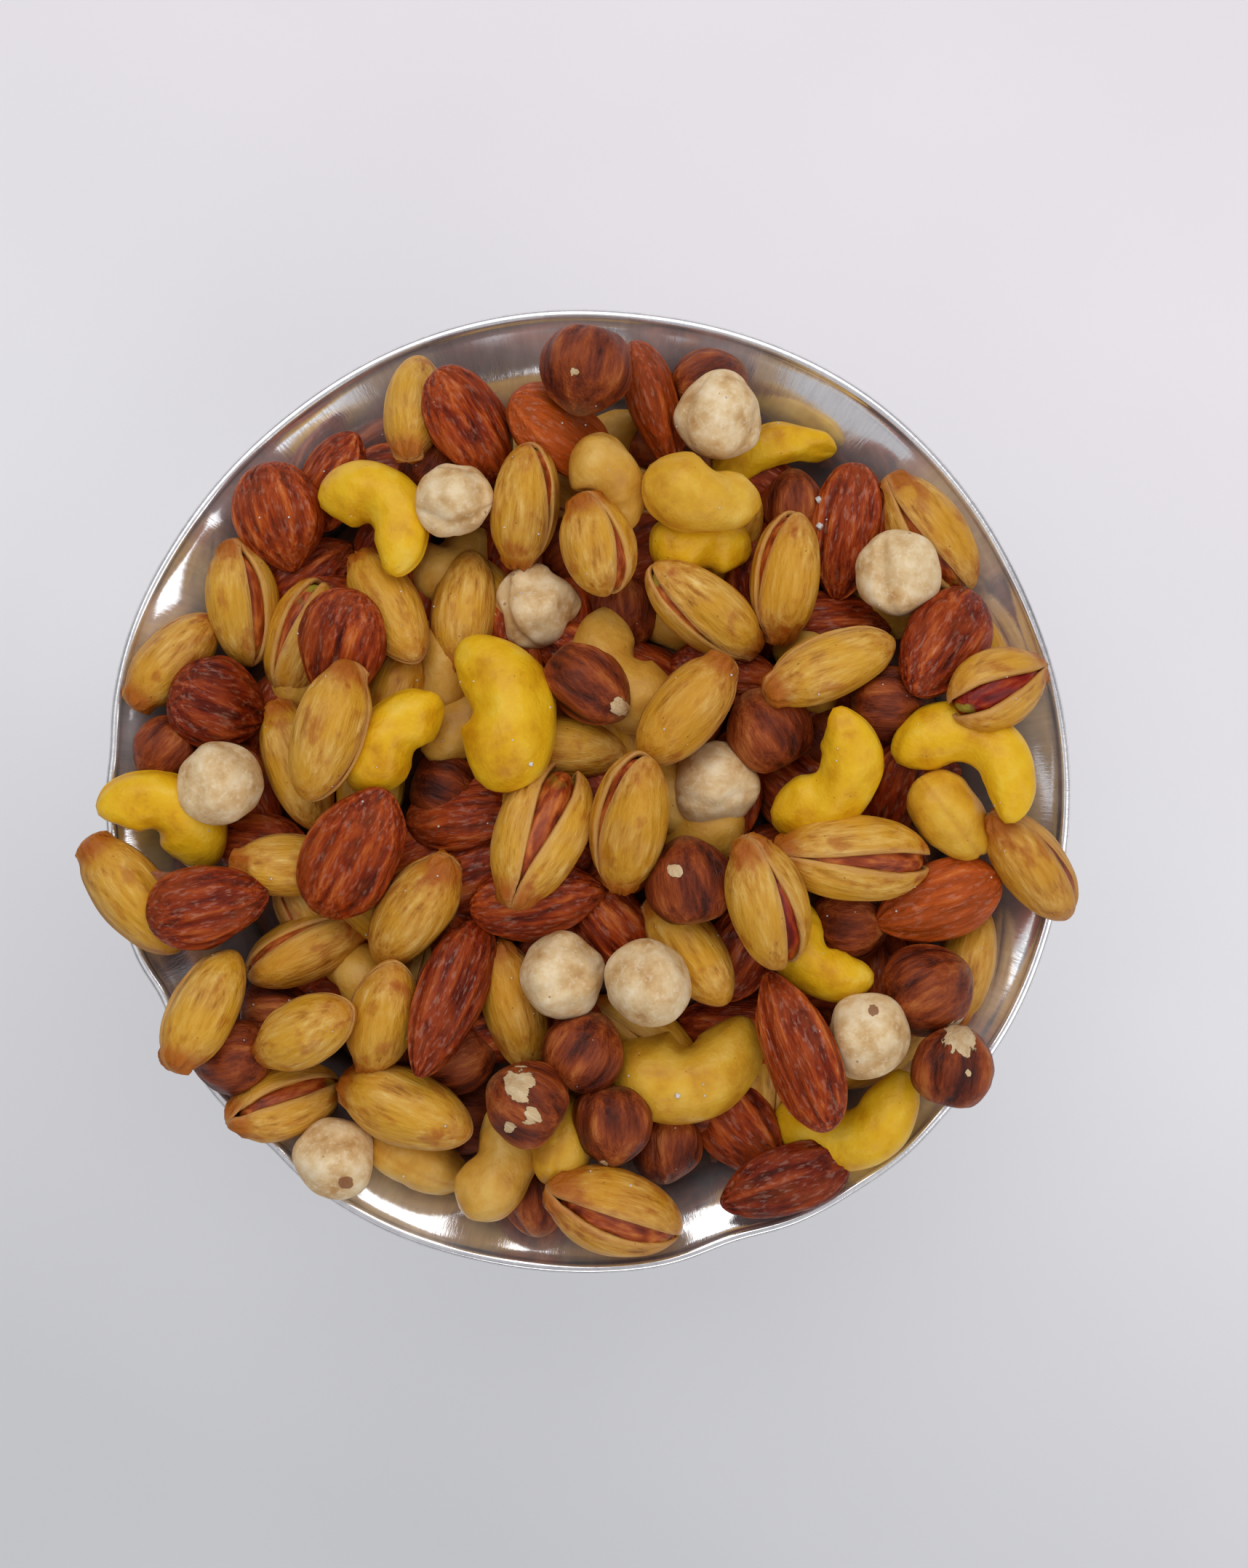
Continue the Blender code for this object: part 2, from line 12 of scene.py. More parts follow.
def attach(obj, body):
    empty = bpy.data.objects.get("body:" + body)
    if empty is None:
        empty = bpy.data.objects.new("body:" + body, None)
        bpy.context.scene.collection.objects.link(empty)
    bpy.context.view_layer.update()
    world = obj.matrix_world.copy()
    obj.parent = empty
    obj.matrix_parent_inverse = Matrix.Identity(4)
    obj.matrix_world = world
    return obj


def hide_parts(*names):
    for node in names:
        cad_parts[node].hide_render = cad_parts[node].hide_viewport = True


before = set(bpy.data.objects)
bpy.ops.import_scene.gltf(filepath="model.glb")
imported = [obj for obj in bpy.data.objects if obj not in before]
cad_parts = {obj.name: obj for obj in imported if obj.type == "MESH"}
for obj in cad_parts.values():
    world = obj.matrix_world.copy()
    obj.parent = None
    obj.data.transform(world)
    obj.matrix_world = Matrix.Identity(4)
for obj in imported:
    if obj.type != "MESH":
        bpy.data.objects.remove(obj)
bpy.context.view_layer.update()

MM = 0.001

# The table: a plain pale sheet seen from straight above, a little right of the bowl's middle.
# Its colour is painted darker at the near end and brighter at the far end and at the right,
# a painted falloff of the light, and it glows a little of itself, painted light that fills in
# the bowl's shadow. A broad soft panel lights it from above the far edge, with a weaker
# one at the right, a thin strip at the near side, and an even pale room.
TABLE_SIZE = 3.0
TABLE_DROP = 0.1 * MM
# painted light: the sheet's colour before the bowl, beside it and behind it
TABLE_NEAR, TABLE_MIDDLE, TABLE_FAR = (200, 201, 203), (228, 228, 231), (234, 229, 233)
TABLE_PAINTED_GLOW = 0.55               # share of its brightness that the sheet gives off itself, a painted glow that fills in shadow
TABLE_REACH = 150 * MM          # the painted falloff of light runs from this far before the bowl to this far behind
TABLE_PAINTED_SLANT = 0.4               # painted light: it is brighter at the right
RIM_HEIGHT = 50 * MM
CAMERA_MIDDLE = (6.0 * MM, 1.1 * MM)
CAMERA_RISE = 450 * MM          # above the rim
SHEET_SEEN = 206.8 * MM         # width of the picture at the height of the rim
SENSOR = 36.0
ROOM_LIGHT = 0.92


def linear(colour, alpha=1.0):
    """A colour read as 0 to 255 on a screen, as light."""
    light = [((part / 255 + 0.055) / 1.055) ** 2.4 if part > 10 else part / 255 / 12.92 for part in colour]
    return (*light, alpha)


def new_material(name):
    material = bpy.data.materials.new(name)
    material.use_nodes = True
    return material, material.node_tree, material.node_tree.nodes["Principled BSDF"]


def fill(tree, step, inputs):
    """Give a node's inputs their values, or link other sockets to them."""
    for key, value in inputs.items():
        if isinstance(value, bpy.types.NodeSocket):
            tree.links.new(value, step.inputs[key])
        else:
            step.inputs[key].default_value = value


def wire(tree, kind, inputs=None, **settings):
    """Add a node, give it its settings, and fill its inputs."""
    step = tree.nodes.new("ShaderNode" + kind)
    for key, value in settings.items():
        setattr(step, key, value)
    fill(tree, step, inputs or {})
    return step


def ramp(tree, factor, stops):
    """Colours along a factor; each stop is a place and a screen colour."""
    step = wire(tree, "ValToRGB", {"Fac": factor})
    band = step.color_ramp
    while len(band.elements) < len(stops):
        band.elements.new(0.5)
    for element, (place, colour) in zip(band.elements, stops):
        element.position = place
        element.color = linear(colour)
    return step.outputs["Color"]


def blend(tree, factor, first, second, mode="MIX"):
    """The first colour below the second, as strong as the factor says."""
    step = wire(tree, "Mix", {0: factor, 6: first, 7: second}, data_type="RGBA", blend_type=mode)
    return step.outputs[2]


def compute(tree, operation, first, second):
    return wire(tree, "Math", {0: first, 1: second}, operation=operation).outputs[0]


def plus(tree, first, second, share):
    """The first value and a share of the second."""
    return wire(tree, "Math", {0: second, 1: share, 2: first}, operation="MULTIPLY_ADD").outputs[0]


def stained(tree, base, colour, mask, strength):
    """The base under a screen colour, as strong as the mask says."""
    return blend(tree, compute(tree, "MULTIPLY", mask, strength), base, linear(colour))


def soft_noise(tree, place, scale, detail, roughness=0.5):
    step = wire(tree, "TexNoise", {"Vector": place, "Scale": scale, "Detail": detail, "Roughness": roughness})
    return step.outputs["Fac"]


def steps_between(tree, value, low, high):
    """0 below low, 1 above high, smooth between."""
    step = wire(tree, "MapRange", {"Value": value, "From Min": low, "From Max": high},
                interpolation_type="SMOOTHSTEP")
    return step.outputs["Result"]


def bumped(tree, shader, height, distance, strength=1.0):
    bump = wire(tree, "Bump", {"Height": height, "Distance": distance, "Strength": strength})
    tree.links.new(bump.outputs["Normal"], shader.inputs["Normal"])


def add_object(name, bm, material, smooth=True):
    mesh = bpy.data.meshes.new(name)
    bm.to_mesh(mesh)
    bm.free()
    mesh.materials.append(material)
    thing = bpy.data.objects.new(name, mesh)
    bpy.context.scene.collection.objects.link(thing)
    if smooth:
        mesh.shade_smooth()
    return thing


def make_table():
    material, tree, shader = new_material("table_top")
    place = wire(tree, "TexCoord").outputs["Object"]
    parts = wire(tree, "SeparateXYZ", {"Vector": place}).outputs
    # painted falloff of light: the colour grows lighter towards the far end and the right
    along = plus(tree, parts["Y"], parts["X"], TABLE_PAINTED_SLANT)
    share = wire(tree, "MapRange", {"Value": along, "From Min": -TABLE_REACH, "From Max": TABLE_REACH})
    colour = ramp(tree, share.outputs["Result"],
                  [(0.0, TABLE_NEAR), (0.5, TABLE_MIDDLE), (1.0, TABLE_FAR)])
    mottle = ramp(tree, soft_noise(tree, place, 9.0, 3.0), [(0.35, (250, 250, 252)), (0.65, (255, 255, 255))])
    sheet = blend(tree, 1.0, colour, mottle, "MULTIPLY")
    # painted glow: part of the sheet's brightness is its own light, filling in the bowl's shadow
    lit = blend(tree, 1.0, sheet, (*[1.0 - TABLE_PAINTED_GLOW] * 3, 1.0), "MULTIPLY")
    fill(tree, shader, {"Base Color": lit, "Emission Color": sheet, "Emission Strength": TABLE_PAINTED_GLOW,
                        "Roughness": 0.85})
    bm = bmesh.new()
    bmesh.ops.create_grid(bm, x_segments=2, y_segments=2, size=TABLE_SIZE / 2)
    bmesh.ops.translate(bm, verts=bm.verts, vec=(0, 0, -TABLE_DROP))
    add_object("table", bm, material, smooth=False)


def add_panel(name, place, aim, size, power, colour=(1, 1, 1)):
    light = bpy.data.lights.new(name, "AREA")
    light.shape = "RECTANGLE"
    light.size, light.size_y = size
    light.energy = power
    light.color = colour
    panel = bpy.data.objects.new(name, light)
    panel.location = place
    panel.rotation_euler = (Vector(aim) - Vector(place)).to_track_quat("-Z", "Y").to_euler()
    bpy.context.scene.collection.objects.link(panel)


def make_room():
    world = bpy.data.worlds.new("room")
    world.use_nodes = True
    tree = world.node_tree
    around = wire(tree, "TexCoord").outputs["Generated"]
    up = wire(tree, "SeparateXYZ", {"Vector": around}).outputs["Z"]
    sky = ramp(tree, up, [(0.0, (120, 120, 124)), (0.3, (188, 188, 194)), (1.0, (255, 253, 255))])
    uneven = ramp(tree, soft_noise(tree, around, 1.7, 1.0),
                  [(0.36, (136, 138, 144)), (0.48, (222, 222, 224)), (0.58, (255, 255, 255))])
    fill(tree, tree.nodes["Background"], {"Color": blend(tree, 1.0, sky, uneven, "MULTIPLY"),
                                          "Strength": ROOM_LIGHT})
    bpy.context.scene.world = world
    add_panel("far_panel", place=(-0.1, 0.55, 0.9), aim=(0, 0, 0.04), size=(1.2, 0.8), power=5.5,
              colour=(1.0, 0.99, 0.97))
    add_panel("right_panel", place=(0.75, -0.3, 0.8), aim=(0, 0, 0.04), size=(0.6, 0.8), power=2.4,
              colour=(0.98, 0.98, 1.0))
    add_panel("near_strip", place=(0.1, -0.8, 0.45), aim=(0, 0, 0.05), size=(0.6, 0.14), power=0.8)


def make_camera():
    data = bpy.data.cameras.new("camera")
    data.sensor_fit = "HORIZONTAL"
    data.sensor_width = SENSOR
    data.lens = SENSOR * CAMERA_RISE / SHEET_SEEN
    camera = bpy.data.objects.new("camera", data)
    camera.location = (*CAMERA_MIDDLE, RIM_HEIGHT + CAMERA_RISE)
    bpy.context.scene.collection.objects.link(camera)
    bpy.context.scene.camera = camera
    bpy.context.scene.view_settings.view_transform = "Standard"


make_table()
make_room()
make_camera()


# The bowl: one disc of thin stainless steel, pressed to shape over a former and polished
# inside, its edge rolled outwards into a bead. Years of use have knocked waves and two
# sharp kinks into the rim and rubbed fine marks across the steel.
RIM_RADIUS = 79.1 * MM
BEAD_RADIUS = 0.95 * MM
SHEET = 0.9 * MM
FOOT_RADIUS = 37.0 * MM
WALL_LEANS = (42.0, 70.0, 22.0)         # degrees at the foot, at the belly and at the rim
LIP_START = 0.62                        # share of the wall's length below the flare
RIM_DENTS = (                           # place and half width in degrees, mm outwards
    (24, 11, -0.35), (55, 12, 0.45), (84, 10, -0.35), (128, 10, -0.25), (160, 10, 0.55),
    (175, 4, -0.5), (206, 4, -1.2), (228, 4, -0.8), (246, 9, 0.3), (288, 6, -1.3),
    (311, 5, 0.4), (332, 9, 0.3),
)
BOWL_SEGMENTS = 360
WALL_SHIFT = (0.75, -0.6)               # of the wall's outer face, outwards and up, in sheets
BEAD_TURNS = range(235, 521, 15)        # degrees round the rolled edge, from its underside
GROOVE = (-0.25 * MM, -0.05 * MM)       # between wall and bead, from the wall's last point


def rim_wave(x, y):
    """How far the rim stands out of its circle in the direction of a point, in metres."""
    angle = np.degrees(np.arctan2(y, x))
    wave = 0.0
    for middle, half_width, depth in RIM_DENTS:
        away = (angle - middle + 180.0) % 360.0 - 180.0
        wave = wave + depth * MM * np.exp(-(away / half_width) ** 2)
    return wave


def wall_lean(share):
    foot, belly, lip = WALL_LEANS
    if share < LIP_START:
        return foot + (belly - foot) * share / LIP_START
    return belly + (lip - belly) * (share - LIP_START) / (1.0 - LIP_START)


def wall_arc(steps):
    """The inner face of the wall as radius and height, from the foot to the rim."""
    across, up = [0.0], [0.0]
    fine = 10
    for step in range(steps * fine):
        lean = math.radians(wall_lean((step + 0.5) / (steps * fine)))
        across.append(across[-1] + math.cos(lean))
        up.append(up[-1] + math.sin(lean))
    width = RIM_RADIUS - BEAD_RADIUS - FOOT_RADIUS
    height = RIM_HEIGHT - SHEET
    return [(FOOT_RADIUS + width * across[step] / across[-1], SHEET + height * up[step] / up[-1])
            for step in range(0, steps * fine + 1, fine)]


def spin_body(points, segments):
    bm = bmesh.new()
    verts = [bm.verts.new((radius, 0.0, height)) for radius, height in points]
    edges = [bm.edges.new(pair) for pair in zip(verts, verts[1:])]
    bmesh.ops.spin(bm, geom=verts + edges, axis=(0, 0, 1), cent=(0, 0, 0),
                   angle=math.tau, steps=segments, use_merge=True)
    bmesh.ops.remove_doubles(bm, verts=bm.verts, dist=1e-6)
    bm.normal_update()
    bmesh.ops.recalc_face_normals(bm, faces=bm.faces)
    return bm


def bend_to_rim(bm):
    for vert in bm.verts:
        radius = math.hypot(vert.co.x, vert.co.y)
        if radius > FOOT_RADIUS:
            share = min(vert.co.z / RIM_HEIGHT, 1.0) ** 3
            wave = rim_wave(vert.co.x, vert.co.y) * share
            vert.co.x *= 1.0 + wave / radius
            vert.co.y *= 1.0 + wave / radius


def steel_finish():
    material, tree, shader = new_material("polished_steel")
    place = wire(tree, "TexCoord").outputs["Object"]
    parts = wire(tree, "SeparateXYZ", {"Vector": place}).outputs
    turn = compute(tree, "ARCTAN2", parts["Y"], parts["X"])
    reach = wire(tree, "VectorMath", {0: place}, operation="LENGTH").outputs["Value"]
    polar = wire(tree, "CombineXYZ", {"X": compute(tree, "MULTIPLY", turn, 30.0),
                                      "Y": compute(tree, "MULTIPLY", reach, 60.0)}).outputs["Vector"]
    streaks = soft_noise(tree, polar, 2.2, 6.0, 0.65)
    rubbed = soft_noise(tree, place, 55.0, 4.0)
    scratches = soft_noise(tree, polar, 14.0, 2.0)
    fill(tree, shader, {
        "Base Color": ramp(tree, streaks, [(0.3, (226, 226, 228)), (0.7, (246, 245, 244))]),
        "Roughness": plus(tree, compute(tree, "MULTIPLY", streaks, 0.14), rubbed, 0.08),
        "Metallic": plus(tree, 0.86, steps_between(tree, rubbed, 0.3, 0.7), -0.2),
    })
    bumped(tree, shader, plus(tree, streaks, scratches, 0.25), 0.00012, 0.4)
    return material


def make_bowl():
    inner = wall_arc(48)
    outward, up = (SHEET * share for share in WALL_SHIFT)
    outer = [(radius + outward, height + up) for radius, height in inner[1:-1]]
    bead = [(RIM_RADIUS + BEAD_RADIUS * math.cos(math.radians(turn)),
             RIM_HEIGHT + BEAD_RADIUS * math.sin(math.radians(turn))) for turn in BEAD_TURNS]
    groove = [(inner[-1][0] + GROOVE[0], inner[-1][1] + GROOVE[1])]
    foot = [(0.0, 0.0), (FOOT_RADIUS - 2.0 * MM, 0.0), (FOOT_RADIUS - 0.6 * MM, 0.1 * MM),
            (FOOT_RADIUS + 0.4 * MM, 0.4 * MM)]
    floor = [(FOOT_RADIUS - 1.5 * MM, SHEET), (0.0, SHEET)]
    bm = spin_body(foot + outer + bead + groove + inner[-2::-1] + floor, BOWL_SEGMENTS)
    bend_to_rim(bm)
    bowl = add_object("steel_bowl", bm, steel_finish())
    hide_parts("bowl")
    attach(bowl, "root")


make_bowl()


# How the nuts lie: each one in sight, the lowest first, is let down at its place in the photo
# until it rests on the filling, the steel or the nuts before it, and takes the lean at which
# its middle lies lowest. The filling is the mass of nuts that can't be seen.
GAP = 0.8 * MM                  # between a nut and the steel
FILL_EDGE_HEIGHT = 40.0 * MM    # of the filling, at the rim
FILL_CROWN = 19.0 * MM          # how much higher it is in the middle
BED = 4.0 * MM                  # the lowest nuts lie this far down in it
SINK = 1.6 * MM                 # how far a nut settles between the ones below it
PRESS = 0.4                     # it rests on the part of its underside that is deeper than this share
LIP_WIDTH = 4.0 * MM            # the filling ends this far inside the rim
CELL = 0.6 * MM
FIELD_REACH = 92 * MM
STEEPEST, LEAN_STEP = 24, 3
STEEPEST_ACROSS, BANK_STEP = 20, 5
LEAN_COST = 3.0 * MM            # what a lean of a radian costs, as a rise of the middle
DEPTH = {"almond": 0.64, "pistachio": 0.94, "cashew": 0.92, "hazelnut": 0.97, "blanched": 0.95}
LAID_BEND = math.radians(60)    # half the bend of a cashew as it is let down
FLAT_CASHEW = 0.6               # sine of the turn up to which a cashew lies on its side
CASHEW_ARCH = 0.4               # share of its width that the bend adds to its height on its back

# A row: kind, x and y in mm, heading of the tip, length and width in mm, turn about the long
# axis, and the nut's own mark: the gape of a pistachio in mm (below zero where both ends stay
# shut), the bend of a cashew in degrees, the tone of an almond, or the lobing of a blanched nut.
LOWEST = (
    ("almond", -31.2, 52.6, 3, 18, 12, 30, 0.3), ("almond", 10.8, 39.8, 20, 19, 12, 0, 0),
    ("almond", 40.8, 26.9, 5, 20, 12, 0, -0.2), ("almond", -47.3, 36, 30, 19, 12, 0, 0.1),
    ("almond", -17.7, -14.3, 20, 19, 12, 0, 0), ("almond", 5.1, -23.1, -50, 19, 12, 0, 0),
    ("almond", 47.3, 10.3, -30, 19, 12, 0, -0.2), ("almond", 22.7, 18.7, -10, 19, 12, 0, -0.5),
    ("almond", 25.4, -25.7, 60, 19, 12, 0, 0), ("almond", -54, -8.6, -5, 18, 11, 20, 0.1),
    ("hazelnut", -24.8, 52.4, 60, 12, 12, 0, 0), ("hazelnut", 20.1, 66.6, 30, 12.5, 12.5, 0, 0),
    ("hazelnut", -69, 6.6, 230, 12, 12, 0, 0), ("hazelnut", -51.9, -37.3, 0, 12.5, 12.5, 0, 0),
    ("hazelnut", -21.5, -43.5, 20, 13, 12, 0, 0), ("hazelnut", -58, -43.6, 190, 13, 12, 0, 0),
    ("hazelnut", -8.3, -66.6, -90, 13.5, 11.5, 0, 0), ("hazelnut", 42.7, -21.6, 0, 13, 13, 0, 0),
    ("hazelnut", 48.6, 14.4, 0, 12.5, 12.5, 0, 0), ("cashew", 38, -25.2, 315, 21, 8.2, 0, 130),
    ("cashew", -27.8, -60.3, -30, 20, 9, 90, 90), ("cashew", -3.8, -57, 80, 17, 9, 90, 90),
    ("pistachio", 64, 22.8, -60, 18.5, 10.5, 104, 1), ("pistachio", -48.2, -12.1, 0, 18.5, 10.5, -104, 1),
    ("pistachio", -27.9, 62.2, 85, 18.5, 10, 104, 1), ("pistachio", -31.7, 15.6, 70, 19, 10.5, -104, 1),
    ("pistachio", 47.8, -42.7, 30, 19.5, 11, 104, 1), ("pistachio", -47.5, 3.8, -70, 22, 11, -104, 1),
)
MIDDLE = (
    ("almond", -42, 51.3, 60, 18, 12.5, 20, 0.2), ("almond", -50.7, 44.9, -75, 18.5, 15.5, 0, 0.3),
    ("almond", 10.9, 62.8, -72, 22.5, 13, 62, 0.5), ("almond", -18.8, 58.6, -58, 21.5, 13.5, 10, 0.1),
    ("almond", -3.8, 57.6, -32, 21.5, 14.5, 20, 1), ("hazelnut", -0.1, 67.2, -100, 14.6, 14.6, 0, 0),
    ("cashew", 2.5, 48.4, -60, 18.5, 9, 180, 80), ("cashew", 30.7, 55.2, 15, 23.5, 6.2, 150, 80),
    ("hazelnut", 34.1, 47.3, 90, 11.5, 10.5, 0, 0), ("almond", 42.6, 42.6, 261, 23, 12.5, -25, -0.1),
    ("pistachio", 56.2, 41.9, -56, 22.5, 12, -24, 3.4), ("cashew", 18.7, 38.6, 5, 19.5, 9, 180, 70),
    ("pistachio", -57, 30.5, -83, 20.5, 10.8, 38, -3), ("pistachio", -47.1, 25.2, 70, 20.5, 10.8, 28, 3),
    ("pistachio", -68, 21.7, 48, 19.5, 10.8, 66, 1.8), ("pistachio", -32.1, 29.4, -60, 22, 11, 104, 1),
    ("pistachio", -20, 29.3, 84, 20.5, 11.3, -104, 1), ("cashew", 7.2, 20.6, 125, 22, 10.4, 180, 150),
    ("almond", -39.3, 23.3, 252, 19.5, 15, 0, -0.2), ("almond", -60.5, 14.2, -20, 16.5, 15, 0, -0.6),
    ("pistachio", -3.7, 7.3, -8, 20.5, 10.8, 104, 1), ("cashew", -30, 7.6, 50, 22.5, 9.5, 165, 70),
    ("almond", -19.9, -3.8, 8, 20, 12, 0, 0), ("cashew", -70.2, -5.7, 150, 22, 9.4, 0, 140),
    ("pistachio", -73.8, -17.4, -52, 23, 12, -70, 1.6), ("pistachio", -46.5, -26.2, 204, 21, 10.8, -40, 2.4),
    ("almond", -8, -17.6, 8, 22, 12.5, 0, -0.1), ("almond", 49.1, -0.1, 70, 20, 12, 30, 0),
    ("cashew", 58.9, -4.2, -50, 20, 9.5, 90, 80), ("pistachio", 72.4, -12.3, -50, 23, 11, 48, 2.6),
    ("pistachio", 62.5, -28.2, 77, 20.5, 10, -104, 1), ("hazelnut", 29.4, 9.8, 120, 13.8, 13.8, 0, 0),
    ("pistachio", 16.8, -26.1, -55, 20.5, 11, 104, 1), ("pistachio", -11.7, -35.6, -75, 22.5, 11, -104, 1),
    ("pistachio", -28.1, -19.7, 235, 22.5, 12, 104, 1), ("pistachio", -33, -36.2, 75, 20, 11.6, -104, 1),
    ("pistachio", -44.9, -38.6, 28, 19, 11.3, 104, 1), ("pistachio", -61.7, -35.1, 65, 21.5, 11.5, 62, 2),
    ("blanched", -41.2, -60.2, 40, 13.2, 13.2, 0, 0.2), ("pistachio", -49.5, -51.1, 18, 19.5, 11, 18, -3.2),
    ("cashew", -15.8, -59.6, 70, 22.5, 9.5, 0, 90), ("cashew", 42.9, -52.4, 18, 24, 9.6, 0, 156),
    ("almond", 24.9, -55.7, -50, 20, 13.3, 0, 0.1), ("hazelnut", 12.6, -58.7, -90, 12.2, 12.2, 0, 0),
    ("almond", 32.4, -64.2, 198, 22.5, 12.8, 10, -0.9),
)
TOP = (
    ("cashew", -34.7, 43, -45, 20, 8.8, 180, 172), ("blanched", -21.2, 46.5, 0, 12, 12, 0, 0.6),
    ("pistachio", 1.8, 38.8, -75, 16, 11.6, 38, 3), ("pistachio", -10, 46, 83, 20.5, 11, -55, 2),
    ("cashew", 18.7, 48.3, -15, 22.5, 10, 30, 60), ("blanched", 21.3, 60.6, 80, 13.8, 13.8, 0, 0.3),
    ("pistachio", 32.3, 34.8, 83, 21, 11.3, 54, 3), ("pistachio", 18.6, 29.3, 143, 23, 11.5, 42, 1.8),
    ("almond", 57.6, 23.8, 237, 21.8, 14, 0, -0.3), ("blanched", 50.3, 35.1, 100, 13.8, 13.8, 0, 0.5),
    ("blanched", -8.2, 29.8, 110, 13.6, 13.6, 0, 1), ("hazelnut", 0.1, 17, -40, 15.5, 11.5, 0, 0),
    ("pistachio", 39.3, 20, 23, 22.5, 11, 68, 1.6), ("pistachio", 15.6, 12.4, 230, 21, 11.8, -104, 1),
    ("cashew", -16, 12.6, 100, 24.8, 12.2, 0, 136), ("pistachio", -40.9, 9.1, 252, 22.5, 12.2, 65, 1.8),
    ("cashew", 37.5, 3.2, 60, 24, 9.4, 0, 140), ("cashew", 60.7, 3.6, -30, 23, 8.6, 180, 172),
    ("pistachio", 65.5, 16.4, 205, 18, 11, 0, 5.4), ("blanched", -59.8, 1.1, 60, 13.8, 13.8, 0, 0.4),
    ("almond", -61.2, -18.6, 12, 20, 13.5, 0, -0.4), ("almond", -37.3, -9.9, 61, 25.3, 15.5, 0, -0.1),
    ("pistachio", 7.1, -4.7, 80, 23.5, 12.3, 54, 2.8), ("blanched", 20.7, 0.8, 0, 14, 14, 0, 0.3),
    ("pistachio", -7.4, -6.9, 68, 24, 12.5, 0, 6.5), ("hazelnut", 16.6, -14.6, 100, 14.4, 14.4, 0, 0),
    ("almond", 57.1, -17.9, 200, 21.5, 13.5, 0, 0.8), ("pistachio", 28.6, -17.9, -72, 23, 12, 24, 3.8),
    ("pistachio", 42.9, -10.7, -3, 24.8, 12.5, 0, 4.2), ("hazelnut", 55.2, -32.3, 30, 14.8, 14.8, 0, 0),
    ("hazelnut", 58.9, -44.5, 80, 13.4, 13.2, 0, 0), ("cashew", 16.3, -42.8, 12, 24, 12.2, 0, 160),
    ("blanched", 45, -39.4, 130, 13.6, 13.6, 0, 0.2), ("almond", 33.8, -41.5, 111, 27.5, 12.5, 15, -0.2),
    ("blanched", -3.9, -29.6, 20, 13.8, 13.8, 0, 0.5), ("blanched", 9.9, -30.6, 90, 13.8, 13.8, 0, 0.3),
    ("almond", -22, -33.3, 248, 27.5, 12.2, 12, -0.5), ("hazelnut", -0.7, -42.2, 60, 13.4, 13.4, 0, 0),
    ("hazelnut", -9.4, -49.8, 150, 13.4, 13.4, 0, 0), ("hazelnut", 4.1, -53.7, -90, 13.2, 13, 0, 0),
    ("pistachio", -29.2, -51.7, -20, 23.2, 13, 104, 1), ("pistachio", 4.8, -68.2, -22, 24.5, 12.5, -16, -3.8),
)


def fill_height(radius):
    """The level up to which hidden nuts fill the bowl, by the distance from its middle."""
    return FILL_EDGE_HEIGHT + FILL_CROWN * (1.0 - (radius / RIM_RADIUS) ** 2)


def seen_size(kind, width, turn):
    """Width and height of a nut as it lies, turned about its long axis."""
    depth = width * DEPTH[kind]
    tilt = math.radians(turn)
    across = math.hypot(width * math.cos(tilt), depth * math.sin(tilt))
    if kind == "cashew":
        return across, depth + width * CASHEW_ARCH * abs(math.sin(tilt))
    return across, math.hypot(depth * math.cos(tilt), width * math.sin(tilt))


def middle_slope(long, short, angle):
    """Slope of the line through the middle of a tilted ellipse's upright chords."""
    cos, sin = math.cos(angle), math.sin(angle)
    return (long ** 2 - short ** 2) * sin * cos / ((long * cos) ** 2 + (short * sin) ** 2)


def underside(kind, along, across, length, width, turn):
    """Half depth of a nut over the places of the field that it covers, else below zero."""
    tilt = math.radians(turn)
    if kind == "cashew" and abs(math.sin(tilt)) < FLAT_CASHEW:
        bend_radius = length * 0.78 / (2 * math.sin(LAID_BEND))
        side = 1.0 if math.cos(tilt) > 0 else -1.0
        sag = bend_radius * (1 - math.cos(LAID_BEND))
        best = np.full(along.shape, -1.0)
        for share in np.linspace(-1.0, 1.0, 9):
            angle = share * LAID_BEND
            middle_x = bend_radius * math.sin(angle)
            middle_y = side * (bend_radius * (1 - math.cos(angle)) - sag / 2)
            ball = width / 2 * (1.0 - 0.2 * share * share)
            best = np.maximum(best, ball ** 2 - (along - middle_x) ** 2 - (across - middle_y) ** 2)
        return np.where(best > 0, np.sqrt(np.maximum(best, 0.0)), -1.0)
    seen, high = seen_size(kind, width, turn)
    inside = 1.0 - (along / (length / 2)) ** 2 - (across / (seen / 2)) ** 2
    return np.where(inside > 0, high / 2 * np.sqrt(np.maximum(inside, 0.0)), -1.0)


wall_radii, wall_heights = zip(*wall_arc(40))
Nut = namedtuple("Nut", "kind middle heading lean bank length width turn own")


